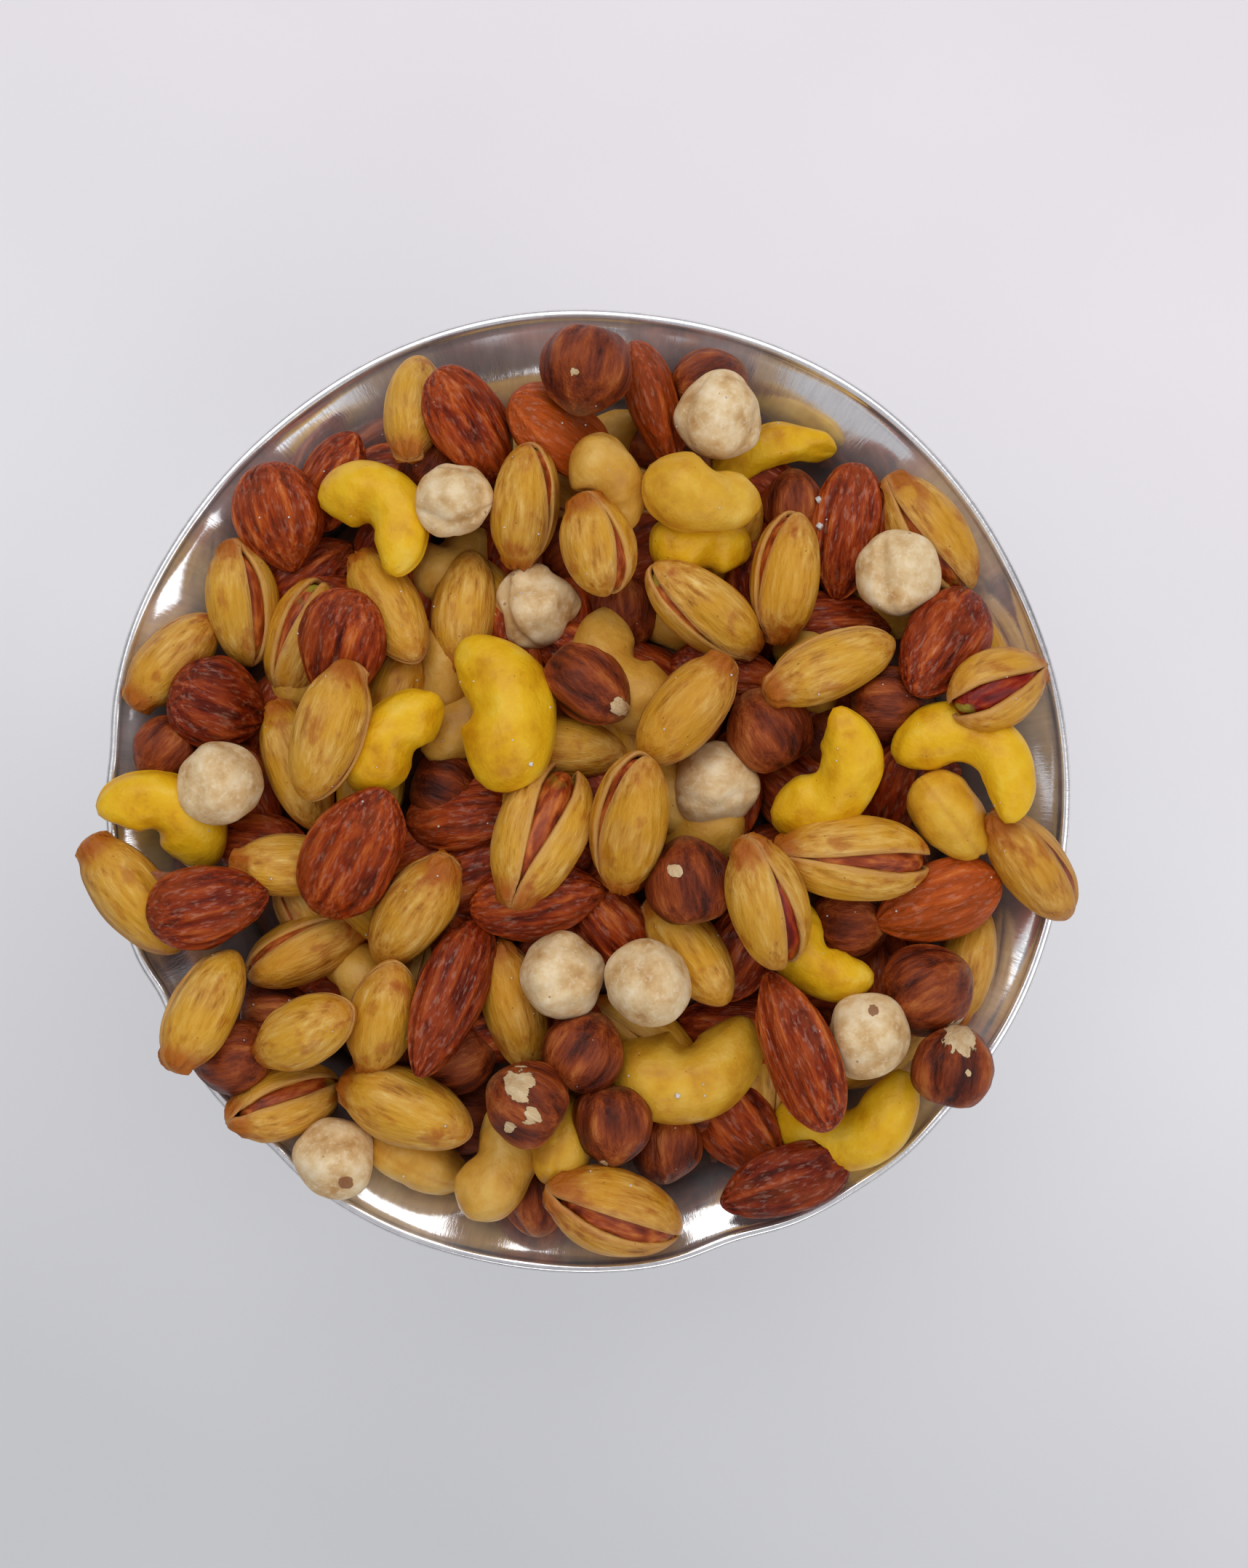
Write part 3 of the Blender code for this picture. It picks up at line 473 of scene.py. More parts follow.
def lay_nuts(rows):
    """Lay the nuts on one another, over a field of the heights that they have reached."""
    span = np.arange(-FIELD_REACH, FIELD_REACH, CELL)
    field_x, field_y = np.meshgrid(span, span)
    radius = np.hypot(field_x, field_y) - rim_wave(field_x, field_y)
    heap = np.where(radius < RIM_RADIUS - LIP_WIDTH, fill_height(radius) + SINK - BED, -1.0)
    steel = np.interp(radius + GAP, wall_radii, wall_heights)
    rim = np.sqrt(np.maximum((BEAD_RADIUS + GAP) ** 2 - (radius - RIM_RADIUS) ** 2, 0.0))
    steel = np.where(rim > 0, RIM_HEIGHT + rim, steel)
    steel = np.where(radius > RIM_RADIUS + BEAD_RADIUS + GAP, -1.0, steel)
    leans = np.radians(np.arange(-STEEPEST, STEEPEST + 1, LEAN_STEP))
    banks = np.radians(np.arange(-STEEPEST_ACROSS, STEEPEST_ACROSS + 1, BANK_STEP))
    laid = []
    for kind, x, y, heading, length, width, turn, own in rows:
        x, y, length, width = x * MM, y * MM, length * MM, width * MM
        cos, sin = math.cos(math.radians(heading)), math.sin(math.radians(heading))
        near = np.hypot(field_x - x, field_y - y) < length * 0.6
        along = (field_x[near] - x) * cos + (field_y[near] - y) * sin
        across = (field_y[near] - y) * cos - (field_x[near] - x) * sin
        half = underside(kind, along, across, length, width, turn)
        covered = half > PRESS * half.max()
        need = np.maximum(heap[near] - SINK, steel[near])[covered] + half[covered]
        seen, high = seen_size(kind, width, turn)
        best = None
        for lean in leans:
            for bank in banks:
                slope = (middle_slope(length, high, lean) * along[covered]
                         + middle_slope(seen, high, bank) * across[covered])
                height = np.max(need - slope)
                cost = height + LEAN_COST * (lean ** 2 + bank ** 2)
                if best is None or cost < best[0]:
                    best = (cost, height, lean, bank, slope)
        _, height, lean, bank, slope = best
        top = np.full(along.shape, -1.0)
        top[covered] = height + slope + half[covered]
        heap[near] = np.maximum(heap[near], top)
        laid.append(Nut(kind, Vector((x, y, height)), heading, lean, bank, length, width, turn, own))
    return laid


def nut_place(nut):
    return (Matrix.Translation(nut.middle) @ Matrix.Rotation(math.radians(nut.heading), 4, "Z")
            @ Matrix.Rotation(-nut.lean, 4, "Y")
            @ Matrix.Rotation(nut.bank - math.radians(nut.turn), 4, "X"))


laid_nuts = lay_nuts(LOWEST + MIDDLE + TOP)


# The hidden nuts and the filling: below the nuts in sight lies a seeded layer of more of
# them, of most kinds, seen only through the gaps, over a lumpy mass that stands for the
# rest, its dark brown colour painted shade. It keeps clear of the lowest nuts in sight.
HIDDEN_PITCH = 11.5 * MM
HIDDEN_REACH = 64 * MM
HIDDEN_DEPTH = 2.0 * MM
HIDDEN_KINDS = ("almond", "almond", "pistachio", "hazelnut", "cashew", "hazelnut", "almond")
HIDDEN_SIZES = {"almond": (20, 12.5, 0), "pistachio": (20, 11, 1), "cashew": (19, 9, 90),
                "hazelnut": (12.5, 12.5, 0)}         # length and width in mm, and own mark
HIDDEN_CLEAR = 8 * MM           # from the middle of the lowest nuts in sight
PULL_IN = 0.97                  # a nut in the wall is moved towards the middle in these steps
END_REACH, END_SIDE, END_UNDER = 0.42, 0.45, 0.3     # of length, width and width
FILL_DROP = 5 * MM              # the dark mass lies this far under the level of the hidden nuts
FILL_SIDE = FILL_EDGE_HEIGHT - 4 * MM       # it meets the wall below this height
FILL_LUMPY = FILL_EDGE_HEIGHT - 6 * MM      # and is lumpy above this one
FILL_LUMP = 3 * MM
chance = random.Random(11)


def clears_wall(middle, heading, lean, length, width):
    """Whether both ends of a nut lie inside the steel."""
    flat = math.radians(heading)
    axis = Vector((math.cos(flat) * math.cos(lean), math.sin(flat) * math.cos(lean), math.sin(lean)))
    ends = [middle + axis * length * side for side in (-END_REACH, END_REACH)]
    return all(end.xy.length + width * END_SIDE
               < np.interp(end.z - width * END_UNDER, wall_heights, wall_radii) for end in ends)


def hidden_nuts():
    """Nuts on a loose triangular grid, clear of the wall and of the lowest nuts in sight."""
    rows = []
    lowest = [nut.middle.xy for nut in laid_nuts[:len(LOWEST)]]
    count = int(HIDDEN_REACH / HIDDEN_PITCH) + 1
    for across in range(-count, count + 1):
        for up in range(-count, count + 1):
            place = Vector((across + 0.5 * (up % 2), up * 0.87)) * HIDDEN_PITCH
            place += Vector((chance.uniform(-2, 2), chance.uniform(-2, 2))) * MM
            kind = chance.choice(HIDDEN_KINDS)
            heading, lean, turn = chance.uniform(0, 360), chance.uniform(-0.4, 0.4), chance.uniform(-40, 40)
            if place.length > HIDDEN_REACH:
                continue
            length, width, own = HIDDEN_SIZES[kind]
            middle = Vector((*place, fill_height(place.length) - HIDDEN_DEPTH))
            while not clears_wall(middle, heading, lean, length * MM, width * MM):
                middle.xy *= PULL_IN
            if min((middle.xy - other).length for other in lowest) > HIDDEN_CLEAR:
                rows.append(Nut(kind, middle, heading, lean, 0.0, length * MM, width * MM, turn, own))
    return rows


def filling_painted_shade_finish():
    material, tree, shader = new_material("filling")
    place = wire(tree, "TexCoord").outputs["Object"]
    lumps = soft_noise(tree, place, 160.0, 3.0)
    # painted shade: dark browns that stand for nuts deep in shadow
    colour = ramp(tree, lumps, [(0.3, (44, 18, 10)), (0.55, (86, 42, 18)), (0.75, (120, 80, 24))])
    fill(tree, shader, {"Base Color": colour, "Roughness": 0.6})
    bumped(tree, shader, lumps, 0.0015)
    return material


def kind_piece(name, bm, material):
    piece = add_object(name, bm, material)
    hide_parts("nut_mix")
    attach(piece, "root")


def make_filling():
    wall = [point for point in wall_arc(24) if point[1] < FILL_SIDE]
    sides = [(radius - GAP, height + GAP) for radius, height in wall]
    edge = sides[-1][0]
    rings = [edge * (1 - step / 16) for step in range(1, 17)]
    dome = [(ring, fill_height(ring) - FILL_DROP) for ring in rings]
    bm = spin_body([(0.0, sides[0][1])] + sides + dome, 120)
    for vert in bm.verts:
        if vert.co.z > FILL_LUMPY and vert.co.xy.length < edge * 0.97:
            vert.co.z += FILL_LUMP * noise.noise(vert.co * 110)
    kind_piece("filling", bm, filling_painted_shade_finish())


laid_nuts += hidden_nuts()
make_filling()
in_sight = len(LOWEST + MIDDLE + TOP)


def nuts_of(kind):
    """Each nut of a kind with its number and whether it is in sight."""
    return [(number, number < in_sight, nut) for number, nut in enumerate(laid_nuts) if nut.kind == kind]


def start_kind():
    """A mesh that gathers the nuts of a kind, with the layers that its finish reads."""
    bm = bmesh.new()
    return bm, bm.verts.layers.float_vector.new("grain"), bm.verts.layers.float_color.new("tone")


def directions(place):
    """A place on a unit ball: along, to the side, up, away from the axis, and the way outwards."""
    along, side, up = place.z, place.x, place.y
    around = max(math.hypot(side, up), 1e-4)
    return along, side, up, around, Vector((0.0, side / around, up / around))


def ball(bm, sides, steps):
    """Add a ball with its poles along the nut; gives its vertices with their directions."""
    name = f"ball_{sides}_{steps}"
    if name not in bpy.data.meshes:
        single = bmesh.new()
        bmesh.ops.create_uvsphere(single, u_segments=sides, v_segments=steps, radius=1.0)
        single.to_mesh(bpy.data.meshes.new(name))
        single.free()
    before = len(bm.verts)
    bm.from_mesh(bpy.data.meshes[name])
    bm.verts.ensure_lookup_table()
    return [(vert, *directions(vert.co)) for vert in bm.verts[before:]]


def make_kind(kind, name, add_nut, material):
    bm, grain, tone = start_kind()
    for number, fine, nut in nuts_of(kind):
        add_nut(bm, grain, tone, number, fine, nut)
    kind_piece(name, bm, material)


def nut_coordinates(tree):
    """The nut's own coordinates, and the marks that its tone carries."""
    grain = wire(tree, "Attribute", attribute_name="grain").outputs["Vector"]
    tone = wire(tree, "Attribute", attribute_name="tone")
    parts = wire(tree, "SeparateColor", {"Color": tone.outputs["Color"]}).outputs
    return grain, parts["Red"], parts["Green"], parts["Blue"], tone.outputs["Alpha"]


def stretched(tree, grain, along, across=1.0):
    """Noise coordinates drawn out along the nut."""
    return wire(tree, "Mapping", {"Vector": grain, "Scale": (along, across, across)}).outputs["Vector"]


# The almonds: whole kernels in their skins, flat drops with a blunt end and a pointed one,
# the skin wrinkled into long ridges that meet at the tip, roasted with salt and saffron
# water, which leaves them dark red-brown and a little shiny. Their colour is painted
# lighter on the ridges and darker in the creases, painted light and shade, with small
# paler painted glints.
ALMOND_RIDGE = 0.48 * MM
ALMOND_CREASE = 0.24 * MM
ALMOND_MESH = ((24, 14), (64, 36))      # sides and steps of a hidden one and of one in sight


def add_almond(bm, grain, tone, number, fine, nut):
    seed = Vector((3.7, 1.9, 5.3)) * number
    sharp = 0.08 + 0.3 * ((number * 0.618) % 1.0)
    place = nut_place(nut)
    for vert, along, side, up, around, out in ball(bm, *ALMOND_MESH[fine]):
        ridge = noise.noise(Vector((along * 0.9, out.y * 4.8, out.z * 3.2)) + seed)
        crinkle = noise.noise(Vector((along * 2.4, out.y * 8.5, out.z * 6.0)) + seed)
        crease = max(0.0, 1.0 - abs(ridge) / 0.09)
        lump = noise.noise(Vector((along * 1.3, side, up)) + seed)
        taper = 1.0 - 0.14 * along - 0.08 * along * along + 0.1 * lump
        pointed = 1.0 - sharp * max(0.0, along - 0.5) ** 2 / 0.25
        half = nut.width / 2 * taper * pointed * around
        relief = (ridge + 0.35 * crinkle) * ALMOND_RIDGE - crease * ALMOND_CREASE
        rise = relief * min(1.0, around * 2.2)
        local = Vector((along * nut.length / 2, out.y * (half + rise),
                        out.z * (half * DEPTH["almond"] + rise)))
        vert[grain] = local / (10 * MM) + seed
        # the green of the tone carries painted light on the ridges and painted shade in the creases
        vert[tone] = (0.5 + nut.own * 0.5, 0.5 + ridge * 0.9 - crease * 0.3, 0.0, 1.0)
        vert.co = place @ local


def almond_finish():
    material, tree, shader = new_material("almond_skin")
    grain, shade, relief = nut_coordinates(tree)[:3]
    fibres = soft_noise(tree, stretched(tree, grain, 1.4, 11.0), 1.0, 5.0, 0.62)
    clouds = soft_noise(tree, grain, 1.8, 3.0)
    flecks = soft_noise(tree, stretched(tree, grain, 5.0, 16.0), 1.0, 2.0)
    # painted light and shade: the skin is lighter on the ridges and darker in the creases
    skin = ramp(tree, plus(tree, plus(tree, -0.14, relief, 0.3), fibres, 0.95),
                [(0.24, (70, 16, 3)), (0.42, (124, 38, 8)), (0.56, (162, 62, 16)), (0.78, (210, 116, 50))])
    orange = blend(tree, 0.5, skin, linear((198, 92, 20)))
    deep = blend(tree, 1.0, skin, linear((186, 150, 160)), "MULTIPLY")
    lighter = steps_between(tree, shade, 0.55, 1.0)
    darker = steps_between(tree, shade, 0.5, 0.05)
    colour = blend(tree, darker, blend(tree, lighter, skin, orange), deep)
    patchy = blend(tree, steps_between(tree, clouds, 0.42, 0.7), colour,
                   blend(tree, 0.4, colour, linear((170, 76, 28))))
    glint = steps_between(tree, flecks, 0.52, 0.68)
    fill(tree, shader, {
        # painted glint: the colour is paler where the glint mask is
        "Base Color": stained(tree, patchy, (206, 140, 96), glint, 0.14),
        "Roughness": plus(tree, 0.2, clouds, 0.3),
        "Specular IOR Level": plus(tree, 0.14, glint, 0.45),
    })
    bumped(tree, shader, plus(tree, fibres, flecks, 0.3), 0.0005)
    return material


make_kind("almond", "almonds", add_almond, almond_finish())


# The pistachios: two thin woody half shells grown together at the stem and sprung apart
# along the seam towards the tip, stained tan and yellow by saffron, finely veined, with a
# crumpled scar where the stem broke off. The kernel in its papery skin sits loose inside.
SHELL_WALL = 0.75 * MM
SHELL_KEEL = 0.35 * MM                  # how far the seam stands out
SHELL_EDGE = 0.9 * MM                   # paler along the seam
STEM_SPAN = 0.16
STEM_KNOB = 1.0 * MM
SHELL_MESH = ((20, 14), (36, 26))
KERNEL_MESH = ((10, 8), (26, 20))
KERNEL_SIZE = (0.445, 0.4, 0.43)        # half sizes, of the nut's length, width and width
RED_KERNELS = ((65.5, 16.4), (28.6, -17.9))


def laid_at(nut):
    return round(nut.middle.x / MM, 1), round(nut.middle.y / MM, 1)


def egg_radius(along):
    return (1.0 - 0.1 * along) * (1.0 - 0.12 * max(0.0, along - 0.6) ** 2 / 0.16)


def half_shell(side_sign, fine, number, nut):
    """One half shell as its own closed mesh, in the nut's own place, already sprung open."""
    seed = Vector((2.3, 4.1, 1.7)) * number
    place = nut_place(nut)
    bm, grain, tone = start_kind()
    ball(bm, *SHELL_MESH[fine])
    bmesh.ops.bisect_plane(bm, geom=bm.verts[:] + bm.edges[:] + bm.faces[:], dist=1e-4, plane_co=(0, 0, 0),
                           plane_no=(side_sign, 0, 0), clear_inner=True)
    for vert in bm.verts:
        along, side, up, around, out = directions(vert.co)
        vein = noise.noise(Vector((along * 1.1, out.y * 5.5, out.z * 5.5)) + seed)
        lump = noise.noise(Vector((along, side, up)) * 1.3 + seed)
        stem = max(0.0, (-along - 1.0 + STEM_SPAN) / STEM_SPAN)
        crumple = stem * noise.noise(Vector((along * 9, out.y * 4, out.z * 4)) + seed)
        rib = math.sin(math.atan2(up, side) * 13 + 4 * lump) * 0.1 * max(0.0, 0.3 - along)
        half = nut.width / 2 * around * egg_radius(along) * (1.0 + 0.05 * lump)
        rise = (vein * 0.14 + rib + crumple * 2.2 + stem * 0.5) * MM * min(1.0, around * 3)
        keel = SHELL_KEEL * max(0.0, 1.0 - abs(side) / 0.16) * around
        vert.co = Vector((along * nut.length / 2 - stem * STEM_KNOB, out.y * (half + rise),
                          out.z * (half * DEPTH["pistachio"] + rise + keel)))
    bm.normal_update()
    bmesh.ops.solidify(bm, geom=bm.faces[:], thickness=SHELL_WALL)
    for vert in bm.verts:
        along, up = vert.co.x / (nut.length / 2), vert.co.z / (nut.width / 2)
        stem = max(0.0, min(1.0, (-along - 1.0 + STEM_SPAN * 1.6) / STEM_SPAN))
        edge = max(0.0, 1.0 - abs(vert.co.y) / SHELL_EDGE)
        vert[grain] = vert.co / (10 * MM) + seed
        vert[tone] = ((number * 0.754) % 1.0, edge, stem, abs(along))
        if nut.own < 0:
            spring = max(0.0, 1.0 - along * along) ** 0.6
        else:
            spring = max(0.0, min(1.0, (along + 0.95) / 1.5))
        vert.co.y += side_sign * abs(nut.own) * MM / 2 * spring * max(0.0, min(1.0, (up + 1.0) / 2))
        vert.co = place @ vert.co
    return bm


def pinpricks(tree, grain, scale, radius):
    """1 in scattered small dots, 0 elsewhere."""
    cells = wire(tree, "TexVoronoi", {"Vector": grain, "Scale": scale})
    return compute(tree, "LESS_THAN", cells.outputs["Distance"], radius)


def shell_finish():
    material, tree, shader = new_material("pistachio_shell")
    grain, shade, edge, stem, ends = nut_coordinates(tree)
    veins = soft_noise(tree, stretched(tree, grain, 1.3, 8.0), 1.0, 5.0, 0.62)
    clouds = soft_noise(tree, grain, 1.5, 3.0)
    stains = soft_noise(tree, stretched(tree, grain, 2.0, 3.2), 1.0, 4.0)
    base = ramp(tree, veins, [(0.3, (152, 94, 22)), (0.43, (200, 144, 52)), (0.57, (218, 170, 78)),
                              (0.76, (236, 206, 128))])
    cloudy = compute(tree, "MULTIPLY", steps_between(tree, clouds, 0.4, 0.6), 0.85)
    saffron = blend(tree, cloudy, base, blend(tree, 0.75, base, linear((212, 156, 28))))
    blots = compute(tree, "MULTIPLY", steps_between(tree, stains, 0.54, 0.7), 0.6)
    browned = compute(tree, "MULTIPLY", steps_between(tree, ends, 0.45, 1.0), stains)
    brown = blend(tree, plus(tree, blots, browned, 0.8), saffron, linear((168, 88, 16)))
    toned = blend(tree, compute(tree, "MULTIPLY", shade, 0.45), brown,
                  blend(tree, 1.0, brown, linear((232, 200, 150)), "MULTIPLY"))
    scar = stained(tree, toned, (168, 88, 16), stem, 0.85)
    lip = stained(tree, scar, (208, 156, 92), edge, 0.6)
    pricked = stained(tree, lip, (112, 66, 24), pinpricks(tree, grain, 3.4, 0.055), 0.6)
    fill(tree, shader, {"Base Color": pricked, "Roughness": 0.42, "Specular IOR Level": 0.24})
    bumped(tree, shader, plus(tree, veins, stains, 0.5), 0.0005)
    return material


def add_kernel(bm, grain, tone, number, fine, nut):
    seed = Vector((1.3, 2.9, 4.7)) * number
    place = nut_place(nut)
    red = 1.0 if laid_at(nut) in RED_KERNELS else 0.0
    long, wide, high = (share * size for share, size in zip(KERNEL_SIZE, (nut.length, nut.width, nut.width)))
    for vert, along, side, up, _, out in ball(bm, *KERNEL_MESH[fine]):
        wrinkle = noise.noise(Vector((along * 1.6, out.y * 3, out.z * 3)) + seed)
        body = (1.0 - 0.06 * along) * (1.0 + 0.1 * wrinkle)
        local = Vector((along * long + 0.2 * MM, side * wide * body, up * high * body + 0.35 * MM))
        vert[grain] = local / (10 * MM) + seed
        vert[tone] = (red, max(0.0, along - 0.6) / 0.4, 0.0, 1.0)
        vert.co = place @ local


def kernel_finish():
    material, tree, shader = new_material("pistachio_kernel")
    grain, red, tip = nut_coordinates(tree)[:3]
    wrinkles = soft_noise(tree, stretched(tree, grain, 2.0, 8.0), 1.0, 4.0)
    clouds = soft_noise(tree, grain, 3.0, 2.0)
    skin = ramp(tree, wrinkles, [(0.3, (92, 28, 6)), (0.5, (152, 62, 18)), (0.72, (202, 116, 50))])
    bright = ramp(tree, wrinkles, [(0.3, (76, 5, 1)), (0.5, (124, 18, 4)), (0.75, (176, 72, 22))])
    greened = compute(tree, "MULTIPLY", tip, steps_between(tree, clouds, 0.5, 0.62))
    colour = blend(tree, greened, blend(tree, red, skin, bright), linear((150, 140, 44)))
    fill(tree, shader, {"Base Color": colour, "Roughness": 0.36, "Specular IOR Level": 0.25})
    bumped(tree, shader, wrinkles, 0.0003, 0.9)
    return material


def make_shells():
    shells = bmesh.new()
    for number, fine, nut in nuts_of("pistachio"):
        for side_sign in (-1, 1):
            half = half_shell(side_sign, fine, number, nut)
            carrier = bpy.data.meshes.new("half_shell")
            half.to_mesh(carrier)
            half.free()
            shells.from_mesh(carrier)
            bpy.data.meshes.remove(carrier)
    kind_piece("pistachio_shells", shells, shell_finish())


make_shells()
make_kind("pistachio", "pistachio_kernels", add_kernel, kernel_finish())


# The cashews: peeled kernels bent round a hollow, one end thicker, smooth and softly
# lumpy with the seam of their two halves down the back, stained vivid saffron yellow,
# paler where the stain is thin, with a few dark pinpricks and a slightly oily shine.
CASHEW_LUMP = 0.8 * MM
CASHEW_DIMPLE = 0.22 * MM
CASHEW_SEAM = 0.22 * MM
CASHEW_LIFT = 0.8 * MM          # it is fuller in the middle than the shape it was laid with
CASHEW_MESH = ((18, 18), (40, 44))
PALE_CASHEWS = ((7.2, 20.6), (2.5, 48.4), (-15.8, -59.6), (-27.8, -60.3))
GOLDEN_CASHEWS = ((58.9, -4.2), (16.3, -42.8), (-3.8, -57.0), (18.7, 48.3))


def cashew_stain(nut, fine):
    """0 for a saffron yellow one, 0.5 for a golden one, 1 for a pale or a hidden one."""
    if not fine or laid_at(nut) in PALE_CASHEWS:
        return 1.0
    return 0.5 if laid_at(nut) in GOLDEN_CASHEWS else 0.0


def add_cashew(bm, grain, tone, number, fine, nut):
    seed = Vector((5.1, 2.7, 3.1)) * number
    place = Matrix.Translation((0, 0, CASHEW_LIFT)) @ nut_place(nut)
    half_bend = math.radians(nut.own / 2)
    bend_radius = (nut.length - nut.width * 0.35) / (2 * math.sin(half_bend))
    sag = bend_radius * (1 - math.cos(half_bend))
    for vert, along, *_, out in ball(bm, *CASHEW_MESH[fine]):
        share = math.asin(max(-1.0, min(1.0, along))) / (math.pi / 2)
        lump = noise.noise(Vector((share * 2.0, out.y * 0.9, out.z * 0.9)) + seed)
        dimple = noise.noise(Vector((share * 5.0, out.y * 2.6, out.z * 2.6)) + seed)
        full = (1.0 - 0.18 * share) * (0.96 + 0.28 * (1.0 - share * share))
        thick = (1.0 - abs(share) ** 3.4) ** 0.5 * full
        hollow = 1.0 - 0.3 * max(0.0, out.y) * math.exp(-(share / 0.4) ** 2)
        seam = max(0.0, 1.0 - abs(out.z) / 0.16) * (1.0 if out.y < 0 else 0.3)
        relief = lump * CASHEW_LUMP + dimple * CASHEW_DIMPLE - seam * CASHEW_SEAM
        reach = nut.width / 2 * thick * hollow + relief * min(1.0, thick * 2)
        angle = share * half_bend
        ring = bend_radius - out.y * reach
        local = Vector((ring * math.sin(angle), bend_radius - ring * math.cos(angle) - sag / 2,
                        out.z * reach * DEPTH["cashew"]))
        vert[grain] = local / (10 * MM) + seed
        vert[tone] = (cashew_stain(nut, fine), seam, 0.0, 1.0)
        vert.co = place @ local


def cashew_finish():
    material, tree, shader = new_material("cashew")
    grain, stain, seam = nut_coordinates(tree)[:3]
    clouds = soft_noise(tree, grain, 1.6, 4.0, 0.55)
    fine = soft_noise(tree, grain, 14.0, 3.0)
    base = ramp(tree, clouds, [(0.3, (200, 138, 12)), (0.44, (222, 168, 20)), (0.58, (230, 182, 30)),
                               (0.76, (234, 196, 72))])
    pale = ramp(tree, clouds, [(0.3, (184, 126, 40)), (0.5, (206, 154, 60)), (0.75, (222, 182, 98))])
    warm = stained(tree, blend(tree, stain, base, pale), (188, 118, 30), seam, 0.35)
    pricked = compute(tree, "MULTIPLY", pinpricks(tree, grain, 4.2, 0.05),
                      steps_between(tree, fine, 0.42, 0.5))
    fill(tree, shader, {
        "Base Color": stained(tree, warm, (92, 52, 16), pricked, 0.75),
        "Roughness": 0.34,
        "Specular IOR Level": 0.24,
        "Subsurface Weight": 0.08,
        "Subsurface Radius": (1.0, 0.6, 0.2),
        "Subsurface Scale": 0.0015,
    })
    bumped(tree, shader, plus(tree, clouds, fine, 0.2), 0.0007, 0.8)
    return material


make_kind("cashew", "cashews", add_cashew, cashew_finish())


# The hazelnuts in their skins: round kernels with a slight point and a rough pale base,
# in a thin dark brown papery skin that is ribbed and creased lengthwise and has flaked
# off some of them in sharp-edged patches, where the cream kernel shows.
HAZEL_RIB = 0.64 * MM
HAZEL_CRINKLE = 0.16 * MM
HAZEL_TIP = 0.4 * MM
HAZEL_MESH = ((18, 12), (48, 32))
BARED = (                               # where the skin is off: x, y and radius in mm
    (-10.6, -46.5, 2.5), (-8.6, -51.2, 1.5), (-12.2, -53.2, 0.9), (59.7, -39.6, 2.5), (60.6, -44.7, 0.6),
    (14.0, -12.5, 1.1), (5.3, 13.4, 1.5), (-1.8, 65.6, 0.8), (2.7, -60.0, 0.8), (-25.6, -47.6, 0.8),
)


def nearness(place, nut, spots):
    """How near a place on the upper side of a nut is to a spot: 1 in its middle, 0.5 at its edge."""
    if place.z <= nut.middle.z - 1 * MM:
        return 0.0
    return max(1.0 - (place.xy - Vector((x, y)) * MM).length / (radius * 2 * MM) for x, y, radius in spots)


def add_hazelnut(bm, grain, tone, number, fine, nut):
    seed = Vector((1.1, 3.3, 2.1)) * number
    place = nut_place(nut)
    for vert, along, side, up, around, out in ball(bm, *HAZEL_MESH[fine]):
        rib = noise.noise(Vector((along * 0.8, out.y * 2.2, out.z * 2.2)) + seed)
        crinkle = noise.noise(Vector((along * 3.0, out.y * 5.0, out.z * 5.0)) + seed)
        lump = noise.noise(Vector((along, side, up)) * 1.1 + seed)
        point = max(0.0, along - 0.8) / 0.2
        flat = max(0.0, -along - 0.82) / 0.18
        half = nut.width / 2 * around * (1.0 - 0.08 * along) * (1.0 + 0.1 * lump) * (1.0 - 0.12 * point)
        rise = (rib * HAZEL_RIB + crinkle * HAZEL_CRINKLE) * min(1.0, around * 2)
        local = Vector((along * nut.length / 2 * (1 - 0.08 * flat) + point * HAZEL_TIP, out.y * (half + rise),
                        out.z * (half * DEPTH["hazelnut"] + rise)))
        vert[grain] = local / (10 * MM) + seed
        vert.co = place @ local
        # the green of the tone carries painted light on the ribs and painted shade between them
        vert[tone] = (nearness(vert.co, nut, BARED), 0.5 + rib, max(point, flat), 1.0)


def hazel_finish():
    material, tree, shader = new_material("hazelnut_skin")
    grain, peel, relief, ends = nut_coordinates(tree)[:4]
    fibres = soft_noise(tree, stretched(tree, grain, 1.4, 8.0), 1.0, 5.0, 0.65)
    ragged = soft_noise(tree, stretched(tree, grain, 2.5, 6.0), 1.0, 4.0)
    # painted light and shade: the skin is lighter on the ribs and darker between them
    skin = ramp(tree, plus(tree, compute(tree, "MULTIPLY", fibres, 0.7), relief, 0.3),
                [(0.3, (60, 16, 4)), (0.46, (112, 42, 11)), (0.6, (148, 66, 22)), (0.8, (190, 112, 52))])
    kernel = ramp(tree, fibres, [(0.3, (196, 160, 112)), (0.7, (226, 204, 164))])
    bare = steps_between(tree, plus(tree, peel, ragged, 0.9), 0.95, 0.99)
    tipped = stained(tree, blend(tree, bare, skin, kernel), (168, 116, 70), ends, 0.45)
    fill(tree, shader, {"Base Color": tipped, "Roughness": 0.4, "Specular IOR Level": 0.24})
    bumped(tree, shader, plus(tree, fibres, bare, -0.5), 0.0008)
    return material


make_kind("hazelnut", "hazelnuts", add_hazelnut, hazel_finish())


# The blanched hazelnuts: peeled and oven-dried, cream with a waxy surface, dented and
# creased from pole to pole into soft lobes, some with a brown speck left behind.
BLANCHED_LOBE = 1.3 * MM
BLANCHED_DIMPLE = 0.3 * MM
BLANCHED_CREASE = 0.95 * MM
BLANCHED_TIP = 0.35 * MM
BLANCHED_MESH = (56, 40)                # all of them are in sight
BROWN_SPOTS = ((-39.0, -63.5, 1.2), (45.6, -34.8, 0.9), (-16.6, 1.0, 0.3))     # x, y and radius in mm


